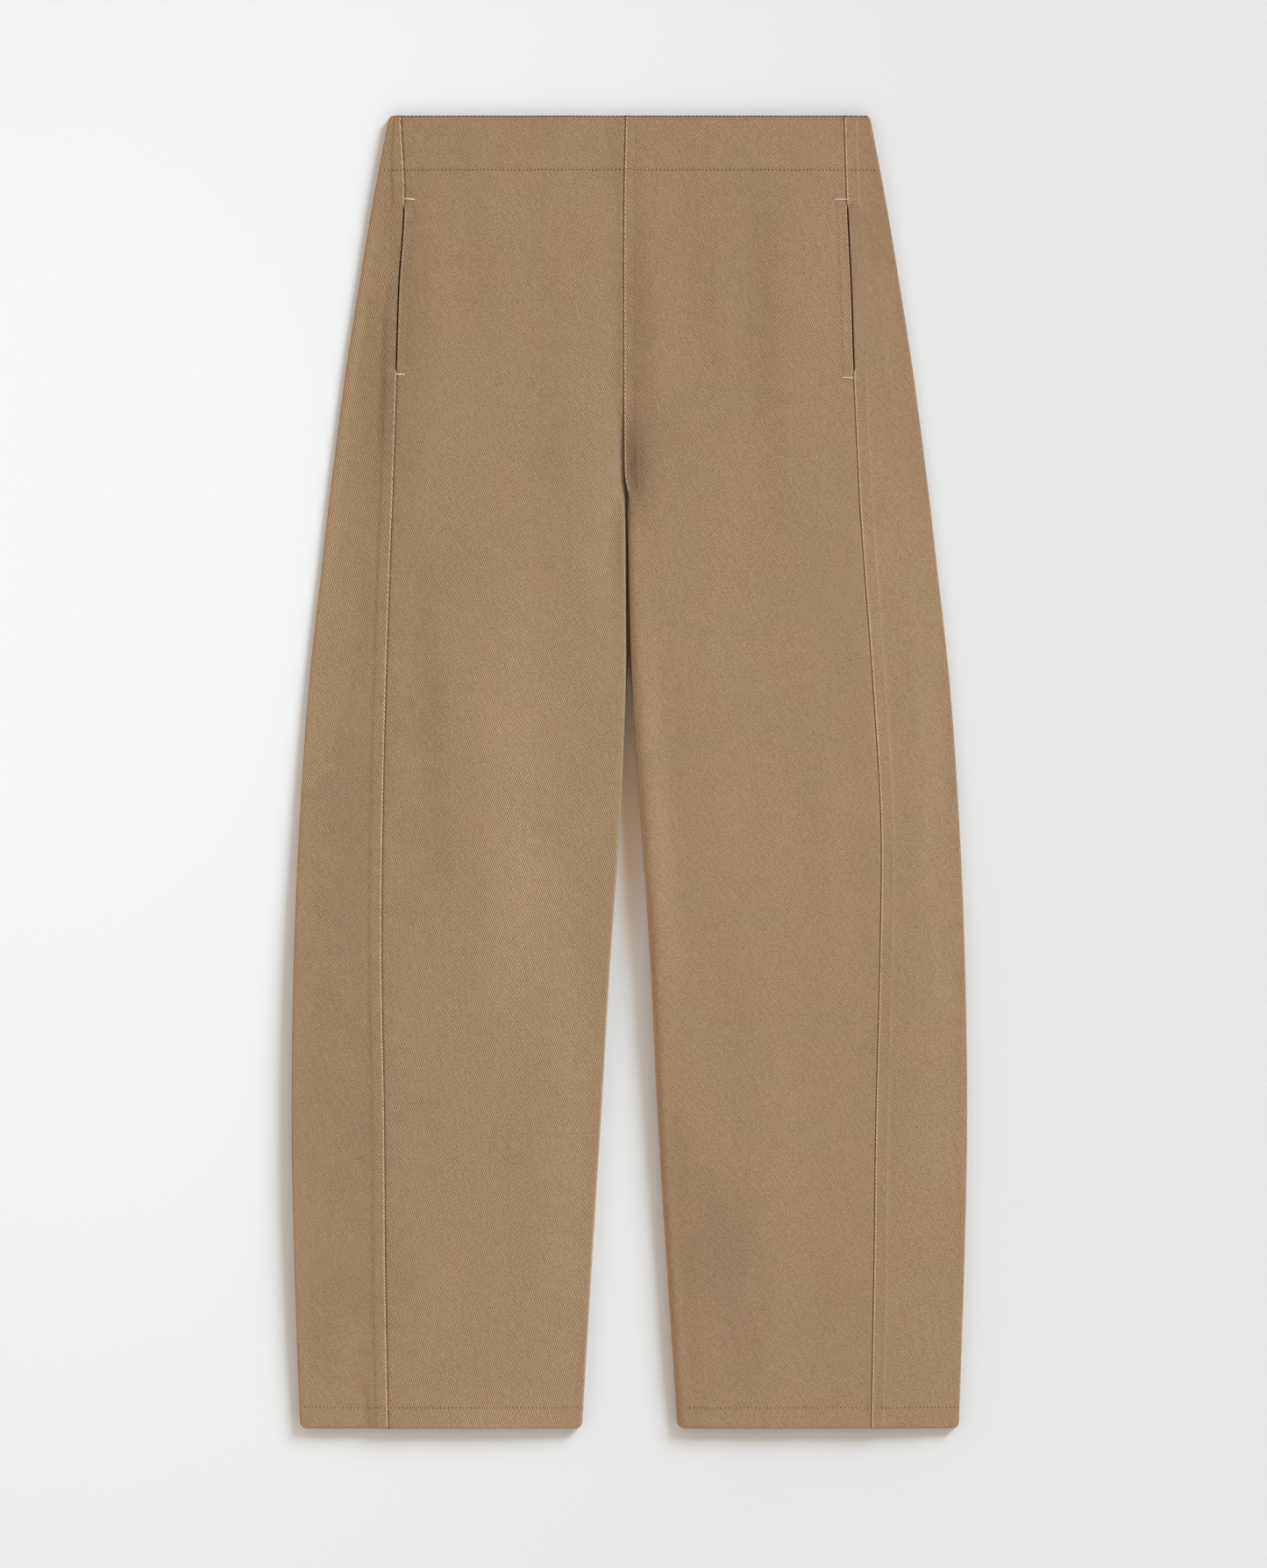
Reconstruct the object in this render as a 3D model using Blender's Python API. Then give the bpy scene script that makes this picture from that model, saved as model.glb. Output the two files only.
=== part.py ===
"""Barrel leg trousers in cotton twill, laid flat with the front up.

Blender 4.5, metres, +Z up. The waist is towards +Y, the hems towards -Y, and the surface that the
trousers lie on is z = 0. Left and right are as seen from above, so left is towards -X. The origin is
under the middle of the outline. Each leg is a flattened tube of two panels: a front, and a back that
wraps round the outer fold and ends at a side seam on the front.
"""

from math import cos, pi, sin, sqrt

import bmesh
import bpy

LENGTH = 1.000  # waist edge to hem edge
CLOTH = 0.0011  # one ply of twill
SEAM_GAP = 0.0003  # between two panels where a seam joins them
WAIST_TURN = 0.042  # depth of the ply turned in at the waist
HEM_TURN = 0.016  # depth of the ply turned in at each hem
EDGE_HEIGHT = 0.0050  # height of the folded edges above the surface
EDGE_ROLL = 0.0030  # how far in from its edge a fold reaches full height
LOFT_WIDTH = 0.055  # how far in from a folded edge the cloth reaches its crown
ALLOWANCE = 0.0080  # seam allowance, turned under the strip along each side seam
ALLOWANCE_RISE = 0.0005  # how far it lifts the strip
ALLOWANCE_STEP = 0.0016  # how far the strip takes to come down again
CORNER = 0.0042  # radius of the outline's corners at the waist and the hems
CROTCH_START = 0.280  # where the inner edges begin to roll down, below the waist edge
CROTCH_END = 0.304  # where they are rolled down all the way
SLIT_TOP = 0.0670  # the pocket mouth's ends, below the waist edge
SLIT_BOTTOM = 0.1970
SLIT_OPEN = 0.0011  # how far the mouth's front edge stands off the side seam
SLIT_TAPER = 0.0040  # how far the mouth takes to close at each end
POCKET_PLY = 0.0010  # pocketing
POCKET_TOP = 0.0440
POCKET_BOTTOM = 0.290
POCKET_WIDTH = 0.125
POCKET_CORNER = 0.060
POCKET_UNDER = 0.0060  # how far the lower ply reaches out under the side strip
LEFT, RIGHT = -1, 1
SHARP_ANGLE = pi / 5  # faces that meet at more than this keep a sharp edge
ROUGHNESS = 0.85

# The laid outline, one row for each level down from the waist edge. The outer folds mirror each other.
# The other columns are x on the left and on the right: side seams, and the centre seam or inner edges.
LEVEL_COLUMNS = ("down", "fold", "left_seam", "right_seam", "left_inner", "right_inner", "crown")
LEVELS = (
    (0.000, 0.1832, -0.1752, 0.1642, -0.0029, -0.0029, 0.0053),
    (0.067, 0.1958, -0.1722, 0.1659, -0.0042, -0.0042, 0.0058),
    (0.199, 0.2168, -0.1782, 0.1706, -0.0043, -0.0043, 0.0060),
    (0.296, 0.2292, -0.1814, 0.1752, -0.0033, -0.0026, 0.0057),
    (0.326, 0.2325, -0.1826, 0.1772, -0.0032, -0.0012, 0.0055),
    (0.433, 0.2442, -0.1862, 0.1852, -0.0034, 0.0017, 0.0054),
    (0.540, 0.2515, -0.1886, 0.1913, -0.0077, 0.0090, 0.0054),
    (0.646, 0.2558, -0.1893, 0.1903, -0.0147, 0.0157, 0.0054),
    (0.766, 0.2574, -0.1873, 0.1873, -0.0217, 0.0214, 0.0054),
    (0.873, 0.2553, -0.1866, 0.1863, -0.0284, 0.0280, 0.0054),
    (1.000, 0.2510, -0.1846, 0.1846, -0.0360, 0.0364, 0.0052),
)

# Soft ridges and troughs of the upper cloth, each along a line from its top to its bottom.
# The columns are x_top, down_top, x_bottom, down_bottom, half_width and rise.
FOLDS = (
    (-0.132, 0.260, -0.126, 0.760, 0.036, 0.0006),  # ridge down the left thigh and knee
    (-0.168, 0.190, -0.134, 0.360, 0.017, -0.0005),  # trough that falls from the left pocket
    (-0.060, 0.420, -0.062, 0.860, 0.045, 0.0004),  # fullness inside the left knee
    (-0.003, 0.110, -0.003, 0.290, 0.018, -0.0007),  # hollow along the centre seam, towards the crotch
    (0.098, 0.120, 0.120, 0.600, 0.026, -0.0005),  # trough down the right thigh
    (0.064, 0.300, 0.072, 0.830, 0.040, 0.0005),  # ridge inside the right knee
    (0.110, 0.820, 0.112, 0.985, 0.040, -0.0004),  # dip above the right hem
    (-0.165, 0.830, -0.160, 0.985, 0.030, -0.0004),  # dip above the left hem
)

# The levels at which each panel has a row of points. Two lie in every rounded corner, and two close
# together where a turned ply ends.
CORNER_ROW = 0.0012
TURN_STEP = 0.0006
LEVEL_ROWS = (
    0.0, CORNER_ROW, CORNER, 0.020, WAIST_TURN - TURN_STEP, WAIST_TURN + TURN_STEP, SLIT_TOP,
    SLIT_TOP + SLIT_TAPER, 0.100, 0.132, 0.165, SLIT_BOTTOM - SLIT_TAPER, SLIT_BOTTOM, 0.224, 0.252,
    CROTCH_START, 0.292, CROTCH_END, 0.330, 0.365, 0.405, 0.450, 0.500, 0.550, 0.600, 0.650, 0.705, 0.760,
    0.815, 0.870, 0.925, 0.962, LENGTH - HEM_TURN - TURN_STEP, LENGTH - HEM_TURN + TURN_STEP,
    LENGTH - CORNER, LENGTH - CORNER_ROW, LENGTH,
)
FRONT_COLUMNS = 9  # steps across a front, between its seam and its rolled inner edge
STRIP_COLUMNS = 2  # steps across the strip between the seam allowance and the outer fold
UNDER_COLUMNS = 3  # steps across a flat underside
FOLD_STEPS = 6  # steps round the outer fold
ROLL_STEPS = 3  # steps round half a fold, at an inner edge
POCKET_COLUMNS = 4  # steps across each ply of a pocket bag
POCKET_FOLD_STEPS = 4  # steps round its folded edge
POCKET_ROWS = 5  # steps down its straight part, and again down its rounded corner

TWILL_COLOUR = (0.366, 0.234, 0.134, 1.0)
POCKETING_COLOUR = (0.42, 0.30, 0.19, 1.0)


def smooth(share):
    """0 to 1 with no corner at either end."""
    share = min(max(share, 0.0), 1.0)
    return share * share * (3.0 - 2.0 * share)


def level(column, down):
    """A column of LEVELS at a distance below the waist edge, on a smooth curve through its rows."""
    k = LEVEL_COLUMNS.index(column)
    rows = [(row[0], row[k]) for row in LEVELS]
    slopes = []
    for i in range(len(rows)):
        before, after = rows[max(i - 1, 0)], rows[min(i + 1, len(rows) - 1)]
        slopes.append((after[1] - before[1]) / (after[0] - before[0]))
    i = max(j for j in range(len(rows) - 1) if rows[j][0] <= down or j == 0)
    step = rows[i + 1][0] - rows[i][0]
    t = (down - rows[i][0]) / step
    return (
        rows[i][1] * (1 + 2 * t) * (1 - t) ** 2
        + slopes[i] * step * t * (1 - t) ** 2
        + rows[i + 1][1] * t * t * (3 - 2 * t)
        - slopes[i + 1] * step * t * t * (1 - t)
    )


def corner_pull(down):
    """How far the outline's rounded corners draw an edge in, near the waist edge and the hem."""
    near = min(down, LENGTH - down)
    if near >= CORNER:
        return 0.0
    return CORNER - sqrt(CORNER**2 - (CORNER - near) ** 2)


def rolled(down):
    """0 above the crotch, where the legs are one body, to 1 below it, where each is a tube."""
    return smooth((down - CROTCH_START) / (CROTCH_END - CROTCH_START))


def outer_x(side, down):
    return side * (level("fold", down) - corner_pull(down))


def inner_x(side, down):
    """The centre seam's edge of a leg above the crotch, and its inner edge below."""
    column = "left_inner" if side == LEFT else "right_inner"
    hem_corner = corner_pull(down) if down > CROTCH_END else 0.0
    return level(column, down) + side * (SEAM_GAP / 2 + hem_corner)


def seam_x(side, down):
    return level("left_seam" if side == LEFT else "right_seam", down)


def slit(down):
    """How far a pocket mouth is open at this level."""
    return SLIT_OPEN * smooth((down - SLIT_TOP) / SLIT_TAPER) * smooth((SLIT_BOTTOM - down) / SLIT_TAPER)


def ply(down):
    """The wall's thickness: doubled where the cloth is turned in at the waist and the hem."""
    turned = down < WAIST_TURN or down > LENGTH - HEM_TURN
    return CLOTH * (2 if turned else 1)


def folds_at(x, down):
    """The soft ridges and troughs, added up at one place."""
    height = 0.0
    for x_top, down_top, x_bottom, down_bottom, half_width, rise in FOLDS:
        along = (down - down_top) / (down_bottom - down_top)
        if not 0.0 < along < 1.0:
            continue
        middle = x_top + (x_bottom - x_top) * along
        across = abs(x - middle) / half_width
        if across < 1.0:
            height += rise * smooth(1.0 - across) * sin(pi * along)
    return height


def top_height(side, x, down):
    """The upper cloth's outer surface, between the folded edges."""
    from_fold = abs(outer_x(side, down) - x) - EDGE_ROLL
    from_inner = abs(inner_x(side, down) - x) - EDGE_ROLL
    c = rolled(down)
    loft = smooth(from_fold / LOFT_WIDTH) * (1.0 - c + c * smooth(from_inner / LOFT_WIDTH))
    soft = smooth(from_fold / EDGE_ROLL) * (1.0 - c + c * smooth(from_inner / EDGE_ROLL))
    return EDGE_HEIGHT + (level("crown", down) - EDGE_HEIGHT) * loft + folds_at(x, down) * soft


def place(x, down, z):
    return (x, LENGTH / 2 - down, z)


def front_section(side, down, inset):
    """A front panel's points from its side seam to its inner edge, inset from the outer surface."""
    seam = seam_x(side, down) - side * (SEAM_GAP / 2 + slit(down))
    inner = inner_x(side, down)
    roll_start = inner + side * EDGE_ROLL
    c = rolled(down)
    points = []
    for i in range(FRONT_COLUMNS + 1):
        x = seam + (roll_start - seam) * i / FRONT_COLUMNS
        points.append(place(x, down, top_height(side, x, down) - inset))
    half = EDGE_HEIGHT / 2
    edge_z = top_height(side, roll_start, down)
    for i in range(1, ROLL_STEPS + 1):
        angle = pi / 2 * (1 - i / ROLL_STEPS)
        x = roll_start - side * (EDGE_ROLL - c * inset) * cos(angle)
        full = edge_z - inset
        low = half + SEAM_GAP / 2 + (edge_z - inset - half - SEAM_GAP / 2) * sin(angle)
        points.append(place(x, down, full + (low - full) * c))
    return points


def back_section(side, down, inset):
    """A back panel's points from its side seam on the front, round the fold, to its inner edge."""
    seam = seam_x(side, down) + side * SEAM_GAP / 2
    outer, inner = outer_x(side, down), inner_x(side, down)
    fold_start = outer - side * EDGE_ROLL
    roll_start = inner + side * EDGE_ROLL
    half = EDGE_HEIGHT / 2
    c = rolled(down)
    strip = abs(fold_start - seam)
    ridge_end = seam + side * min(ALLOWANCE, strip / 2)
    strip_start = ridge_end + side * min(ALLOWANCE_STEP, strip / 4)
    points = []
    for x, rise in ((seam, ALLOWANCE_RISE), (ridge_end, ALLOWANCE_RISE)):
        points.append(place(x, down, top_height(side, x, down) + rise - inset))
    for i in range(STRIP_COLUMNS):
        x = strip_start + (fold_start - strip_start) * i / STRIP_COLUMNS
        points.append(place(x, down, top_height(side, x, down) - inset))
    for i in range(FOLD_STEPS + 1):
        angle = pi / 2 - pi * i / FOLD_STEPS
        x = fold_start + side * (EDGE_ROLL - inset) * cos(angle)
        points.append(place(x, down, half + (half - inset) * sin(angle)))
    for i in range(1, UNDER_COLUMNS + 1):
        x = fold_start + (roll_start - fold_start) * i / UNDER_COLUMNS
        points.append(place(x, down, inset))
    for i in range(1, ROLL_STEPS + 1):
        angle = pi / 2 * (1 - i / ROLL_STEPS)
        x = roll_start - side * (EDGE_ROLL - c * inset) * cos(angle)
        raised = half - SEAM_GAP / 2 - (half - SEAM_GAP / 2 - inset) * sin(angle)
        points.append(place(x, down, inset + (raised - inset) * c))
    return points


def pocket_reach(down):
    """How far a pocket bag reaches in from the side seam, with its lower corner rounded."""
    below = down - (POCKET_BOTTOM - POCKET_CORNER)
    if below <= 0.0:
        return POCKET_WIDTH
    return POCKET_WIDTH - POCKET_CORNER + sqrt(max(POCKET_CORNER**2 - below**2, 0.0))


def pocket_section(side, down, inset):
    """A pocket bag's points: lower ply from under the side strip, its inner fold, upper ply to the mouth."""
    mouth = seam_x(side, down) - side * (SEAM_GAP / 2 + slit(down))
    far = mouth - side * pocket_reach(down)
    bag = 2 * POCKET_PLY + SEAM_GAP
    drop = ply(down) + SEAM_GAP
    points = []
    for i in range(POCKET_COLUMNS + 1):
        x = mouth + side * POCKET_UNDER + (far - mouth - side * POCKET_UNDER) * i / POCKET_COLUMNS
        points.append((x, top_height(side, x, down) - drop - bag + inset))
    middle = top_height(side, far, down) - drop - bag / 2
    for i in range(1, POCKET_FOLD_STEPS):
        angle = -pi / 2 + pi * i / POCKET_FOLD_STEPS
        points.append((far - side * (bag / 2 - inset) * cos(angle), middle + (bag / 2 - inset) * sin(angle)))
    for i in range(POCKET_COLUMNS + 1):
        x = far + (mouth - far) * i / POCKET_COLUMNS
        points.append((x, top_height(side, x, down) - drop - inset))
    return [place(x, down, z) for x, z in points]


def cloth_wall(name, outer_rows, inner_rows, material, collection):
    """A closed wall of cloth between two grids of points, one object."""
    made = bmesh.new()
    grids = [[[made.verts.new(p) for p in row] for row in rows] for rows in (outer_rows, inner_rows)]
    last_row, last_column = len(outer_rows) - 1, len(outer_rows[0]) - 1
    for grid, flip in zip(grids, (False, True)):
        for i in range(last_row):
            for j in range(last_column):
                corners = [grid[i][j], grid[i + 1][j], grid[i + 1][j + 1], grid[i][j + 1]]
                made.faces.new(corners[::-1] if flip else corners)
    outer, inner = grids
    rim = [(0, j) for j in range(last_column)] + [(i, last_column) for i in range(last_row)]
    rim += [(last_row, j) for j in range(last_column, 0, -1)] + [(i, 0) for i in range(last_row, 0, -1)]
    for (i, j), (k, m) in zip(rim, rim[1:] + rim[:1]):
        made.faces.new((outer[i][j], outer[k][m], inner[k][m], inner[i][j]))
    bmesh.ops.recalc_face_normals(made, faces=made.faces)
    bmesh.ops.triangulate(made, faces=made.faces)
    mesh = bpy.data.meshes.new(name)
    made.to_mesh(mesh)
    made.free()
    mesh.materials.append(material)
    mesh.shade_smooth()
    mesh.set_sharp_from_angle(angle=SHARP_ANGLE)
    panel = bpy.data.objects.new(name, mesh)
    collection.objects.link(panel)
    return panel


def cloth_material(name, colour):
    material = bpy.data.materials.new(name)
    material.use_nodes = True
    shader = material.node_tree.nodes["Principled BSDF"]
    shader.inputs["Base Color"].default_value = colour
    shader.inputs["Roughness"].default_value = ROUGHNESS
    shader.inputs["Metallic"].default_value = 0.0
    return material


def leg_panel(name, section, side, rows, wall, material, collection):
    """One panel as a wall: its sections on the outer surface, and again inset by the wall."""
    outer = [section(side, down, 0.0) for down in rows]
    inner = [section(side, down, wall(down)) for down in rows]
    return cloth_wall(name, outer, inner, material, collection)


def build():
    for obj in list(bpy.data.objects):
        bpy.data.objects.remove(obj)
    trousers = bpy.data.collections.new("barrel_leg_trousers")
    bpy.context.scene.collection.children.link(trousers)
    twill = cloth_material("twill", TWILL_COLOUR)
    pocketing = cloth_material("pocketing", POCKETING_COLOUR)
    corner_top = POCKET_BOTTOM - POCKET_CORNER
    pocket_rows = [POCKET_TOP + (corner_top - POCKET_TOP) * i / POCKET_ROWS for i in range(POCKET_ROWS + 1)]
    pocket_rows += [corner_top + POCKET_CORNER * sin(pi / 2 * i / POCKET_ROWS) for i in range(1, POCKET_ROWS)]
    for side, word in ((LEFT, "left"), (RIGHT, "right")):
        leg_panel(f"front_{word}", front_section, side, LEVEL_ROWS, ply, twill, trousers)
        leg_panel(f"back_{word}", back_section, side, LEVEL_ROWS, ply, twill, trousers)
        leg_panel(
            f"pocket_{word}", pocket_section, side, pocket_rows, lambda down: POCKET_PLY, pocketing, trousers
        )


build()
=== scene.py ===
# %% [markdown]
# Barrel leg trousers, laid flat.
#
# The trousers are cotton twill in a warm tan. They lie on a pale surface with the front up, and the
# camera looks straight down on them. Each leg is a flattened tube of two panels. The back panel wraps
# round the outer fold, so the side seam shows on the front as a long line from the waist to the hem.
#
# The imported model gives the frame: its pieces are plain walls in the right places. The cells below
# make a finer shell of cloth for each of them, in the same place, and sew it.

import bmesh
import bpy
import numpy as np
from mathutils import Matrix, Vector


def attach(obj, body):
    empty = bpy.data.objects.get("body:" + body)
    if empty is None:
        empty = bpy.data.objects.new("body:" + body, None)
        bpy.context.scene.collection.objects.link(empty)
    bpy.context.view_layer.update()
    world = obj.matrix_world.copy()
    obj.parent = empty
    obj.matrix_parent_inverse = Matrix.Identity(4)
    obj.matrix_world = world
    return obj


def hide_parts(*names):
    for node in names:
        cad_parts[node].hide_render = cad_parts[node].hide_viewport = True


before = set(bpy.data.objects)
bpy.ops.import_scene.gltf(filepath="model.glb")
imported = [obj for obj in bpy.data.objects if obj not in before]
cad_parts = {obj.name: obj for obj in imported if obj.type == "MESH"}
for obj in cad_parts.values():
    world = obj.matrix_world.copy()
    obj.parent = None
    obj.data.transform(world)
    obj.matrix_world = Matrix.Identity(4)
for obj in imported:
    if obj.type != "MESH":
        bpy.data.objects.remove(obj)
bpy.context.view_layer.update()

print("packed pieces:", sorted(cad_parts))

# %% [markdown]
# The sizes of the garment, in metres.
#
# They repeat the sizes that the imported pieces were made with, because the cloth has to lie where those
# pieces are. Everything is placed by two numbers: x across the trousers, and the distance down from
# the waist edge. One table holds the outer folds and the side seams, with a row for each level, and a
# second one holds the inner edges of the legs, which need more rows near the crotch.

# %% Sizes and the laid outline
LENGTH = 1.000
CLOTH = 0.0011
SEAM_GAP = 0.0003
WAIST_TURN = 0.042
HEM_TURN = 0.016
EDGE_ROLL = 0.0014  # how far in from an outer fold the cloth starts to turn down
WAIST_CORNER = 0.0032
HEM_CORNER = 0.0046
CROTCH_START = 0.280
CROTCH_END = 0.304
TOUCH_END = 0.405  # down to here the legs touch each other on the surface
TOUCH_FADE = 0.045
SLIT_TOP = 0.0670
SLIT_BOTTOM = 0.1970
SLIT_OPEN = 0.0008
SLIT_TAPER = 0.0040
MOUTH_LIFT = 0.0003  # how far the front edge of a pocket mouth stands up
ALLOWANCE = 0.0080
ALLOWANCE_RISE = 0.0004
ALLOWANCE_STEP = 0.0011
LEFT, RIGHT = -1, 1
WORDS = {LEFT: "left", RIGHT: "right"}

LEVEL_COLUMNS = ("down", "fold", "left_seam", "right_seam")
LEVELS = np.array((
    (0.000, 0.1832, -0.1752, 0.1642),
    (0.067, 0.1958, -0.1722, 0.1662),
    (0.130, 0.2062, -0.1761, 0.1691),
    (0.199, 0.2168, -0.1782, 0.1714),
    (0.296, 0.2292, -0.1814, 0.1760),
    (0.326, 0.2325, -0.1826, 0.1780),
    (0.433, 0.2442, -0.1862, 0.1858),
    (0.540, 0.2515, -0.1886, 0.1919),
    (0.646, 0.2558, -0.1893, 0.1910),
    (0.766, 0.2574, -0.1873, 0.1880),
    (0.873, 0.2553, -0.1866, 0.1867),
    (1.000, 0.2510, -0.1846, 0.1846),
))
INNER_COLUMNS = ("down", "left", "right")
INNER_EDGES = np.array((
    (0.000, -0.0029, -0.0029),
    (0.067, -0.0042, -0.0042),
    (0.199, -0.0043, -0.0043),
    (0.264, -0.0040, -0.0040),
    (0.278, -0.0040, -0.0032),
    (0.290, -0.0037, -0.0006),
    (0.304, -0.0033, -0.0011),
    (0.326, -0.0029, -0.0010),
    (0.360, -0.0027, -0.0004),
    (0.433, -0.0026, 0.0018),
    (0.540, -0.0072, 0.0085),
    (0.646, -0.0147, 0.0157),
    (0.766, -0.0217, 0.0214),
    (0.873, -0.0284, 0.0280),
    (1.000, -0.0360, 0.0364),
))


def smooth(share):
    """0 to 1 with no corner at either end."""
    share = np.clip(share, 0.0, 1.0)
    return share * share * (3.0 - 2.0 * share)


def fades(distance, reach):
    """1 at a distance of 0, to 0 from the reach on."""
    return smooth(1.0 - np.abs(distance) / reach)


def curve(table, columns, column, down):
    """A column of a table at a distance below the waist edge, on a smooth curve through its rows."""
    at, value = table[:, 0], table[:, columns.index(column)]
    last = len(at) - 1
    before, after = np.maximum(np.arange(last + 1) - 1, 0), np.minimum(np.arange(last + 1) + 1, last)
    slope = (value[after] - value[before]) / (at[after] - at[before])
    i = np.clip(np.searchsorted(at, down, side="right") - 1, 0, last - 1)
    step = at[i + 1] - at[i]
    t = (down - at[i]) / step
    return (
        value[i] * (1 + 2 * t) * (1 - t) ** 2
        + slope[i] * step * t * (1 - t) ** 2
        + value[i + 1] * t * t * (3 - 2 * t)
        - slope[i + 1] * step * t * t * (1 - t)
    )


def level(column, down):
    """A column of the laid outline."""
    return curve(LEVELS, LEVEL_COLUMNS, column, down)


def corner_pull(down):
    """How far the rounded corners draw an edge in, near the waist edge and the hem."""
    radius = np.where(down < LENGTH / 2, WAIST_CORNER, HEM_CORNER)
    near = np.clip(np.minimum(down, LENGTH - down), 0.0, radius)
    return radius - np.sqrt(radius**2 - (radius - near) ** 2)


def rolled(down):
    """0 above the crotch, where the legs are one body, to 1 below it, where each is a tube."""
    return smooth((down - CROTCH_START) / (CROTCH_END - CROTCH_START))


def outer_x(side, down):
    return side * (level("fold", down) - corner_pull(down))


def inner_x(side, down):
    edge = curve(INNER_EDGES, INNER_COLUMNS, WORDS[side], down)
    return edge + side * (SEAM_GAP / 2 + np.where(down > CROTCH_END, corner_pull(down), 0.0))


def touching(down):
    """1 where the back panels touch each other on the surface, to 0 where the legs stand apart."""
    return 1.0 - smooth((down - TOUCH_END) / TOUCH_FADE)


def half_gap(side, down):
    """From a leg's inner edge to just short of the middle of the gap."""
    middle = (inner_x(LEFT, down) + inner_x(RIGHT, down)) / 2
    return np.abs(middle - inner_x(side, down)) - SEAM_GAP / 2


def seam_x(side, down):
    return level(WORDS[side] + "_seam", down)


def slit(down):
    """How far a pocket mouth is open at this level."""
    return SLIT_OPEN * smooth((down - SLIT_TOP) / SLIT_TAPER) * smooth((SLIT_BOTTOM - down) / SLIT_TAPER)


def ply(down):
    """One ply, and two where the cloth is turned in at the waist and the hem."""
    turned = (down < WAIST_TURN) | (down > LENGTH - HEM_TURN)
    return np.where(turned, 2 * CLOTH, CLOTH)


print("width at the waist, hip, knee and hem in mm:",
      [round(2000 * float(level("fold", d))) for d in (0.0, 0.2, 0.6, 1.0)])

# %% [markdown]
# The soft folds of the upper cloth.
#
# Cloth that is pressed and laid out still keeps long shallow swells, and these give the legs their
# light and shade. A cloth simulation would find its own folds, but these have to run where the real
# ones do. So each is a line on the leg with a width and a height, and the heights are added up. Much
# smaller waves, drawn from a fixed seed, keep the surface between them from looking machined.

# %% Folds, swells and small waves
FOLDS = (
    # x_top, down_top, x_bottom, down_bottom, half_width, rise
    # left leg
    (-0.198, 0.060, -0.212, 0.330, 0.030, -0.0016),  # hollow of the strip beside the pocket mouth
    (-0.150, 0.150, -0.168, 0.300, 0.028, -0.0009),  # trough that falls from the pocket
    (-0.193, 0.180, -0.198, 0.880, 0.062, -0.0024),  # long trough along the side seam
    (-0.166, 0.300, -0.150, 0.620, 0.020, -0.0006),
    (-0.112, 0.250, -0.104, 0.800, 0.042, 0.0016),  # long ridge down the middle of the leg
    (-0.070, 0.560, -0.074, 0.880, 0.046, 0.0010),
    (-0.138, 0.060, -0.128, 0.260, 0.036, -0.0006),
    (-0.150, 0.700, -0.176, 0.960, 0.030, -0.0007),
    (-0.196, 0.900, -0.216, 1.000, 0.018, -0.0008),  # dip at the outer end of the left hem
    (-0.2030, 0.962, -0.2000, 1.016, 0.0045, -0.0008),  # pucker beside the left side seam, across the hem
    (-0.060, 0.120, -0.034, 0.330, 0.040, 0.0008),
    # centre
    (-0.003, 0.050, -0.002, 0.420, 0.026, -0.0020),  # hollow along the centre seam, towards the crotch
    (0.020, 0.200, 0.006, 0.340, 0.020, -0.0007),
    # right leg
    (0.084, 0.040, 0.098, 0.330, 0.026, -0.0010),  # trough down the right front
    (0.128, 0.060, 0.124, 0.330, 0.030, 0.0007),
    (0.046, 0.240, 0.072, 0.640, 0.036, 0.0012),  # ridge inside the thigh
    (0.118, 0.360, 0.132, 0.640, 0.026, -0.0007),  # trough from the thigh to the knee
    (0.164, 0.230, 0.168, 0.400, 0.020, -0.0006),
    (0.160, 0.480, 0.150, 0.860, 0.034, 0.0007),
    (0.060, 0.560, 0.090, 0.900, 0.040, -0.0008),
    (0.110, 0.760, 0.118, 1.000, 0.050, -0.0012),  # dip above the right hem
    (0.214, 0.200, 0.228, 0.760, 0.026, 0.0008),  # fullness of the right side strip
    (0.082, 0.560, 0.090, 1.010, 0.060, 0.0016),  # ridge from which the right calf falls to its inner edge
)

WAVE_COUNT = 26
WAVE_SPREAD = (0.7, 1.7)  # the shortest and longest wave, as shares of the table's size
waves = np.random.default_rng(11)


def wave_table(size, height, lean):
    """Rows of (across, along, start, height): waves that lie mostly along the leg when lean is small."""
    turn = waves.normal(0.0, lean, WAVE_COUNT)
    number = 2 * np.pi / (size * waves.uniform(*WAVE_SPREAD, WAVE_COUNT))
    start = waves.uniform(0.0, 2 * np.pi, WAVE_COUNT)
    each = np.full(WAVE_COUNT, height / WAVE_COUNT**0.5)
    return np.stack([number * np.cos(turn), number * np.sin(turn), start, each], 1)


WAVES = np.concatenate([
    wave_table(size=0.060, height=0.00022, lean=0.45),
    wave_table(size=0.022, height=0.00006, lean=0.9),
    wave_table(size=0.009, height=0.000016, lean=1.6),
])


def waves_at(x, down):
    field = 0.0
    for across, along, start, height in WAVES:
        field = field + height * np.sin(across * x + along * down + start)
    return field


def folds_at(x, down):
    """The folds of the table, added up at each place."""
    field = 0.0
    for x_top, down_top, x_bottom, down_bottom, half_width, rise in FOLDS:
        along = np.clip((down - down_top) / (down_bottom - down_top), 0.0, 1.0)
        middle = x_top + (x_bottom - x_top) * along
        field = field + rise * fades(x - middle, half_width) * np.sin(np.pi * along)
    return field


print(len(FOLDS), "folds and", len(WAVES), "waves")
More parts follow.
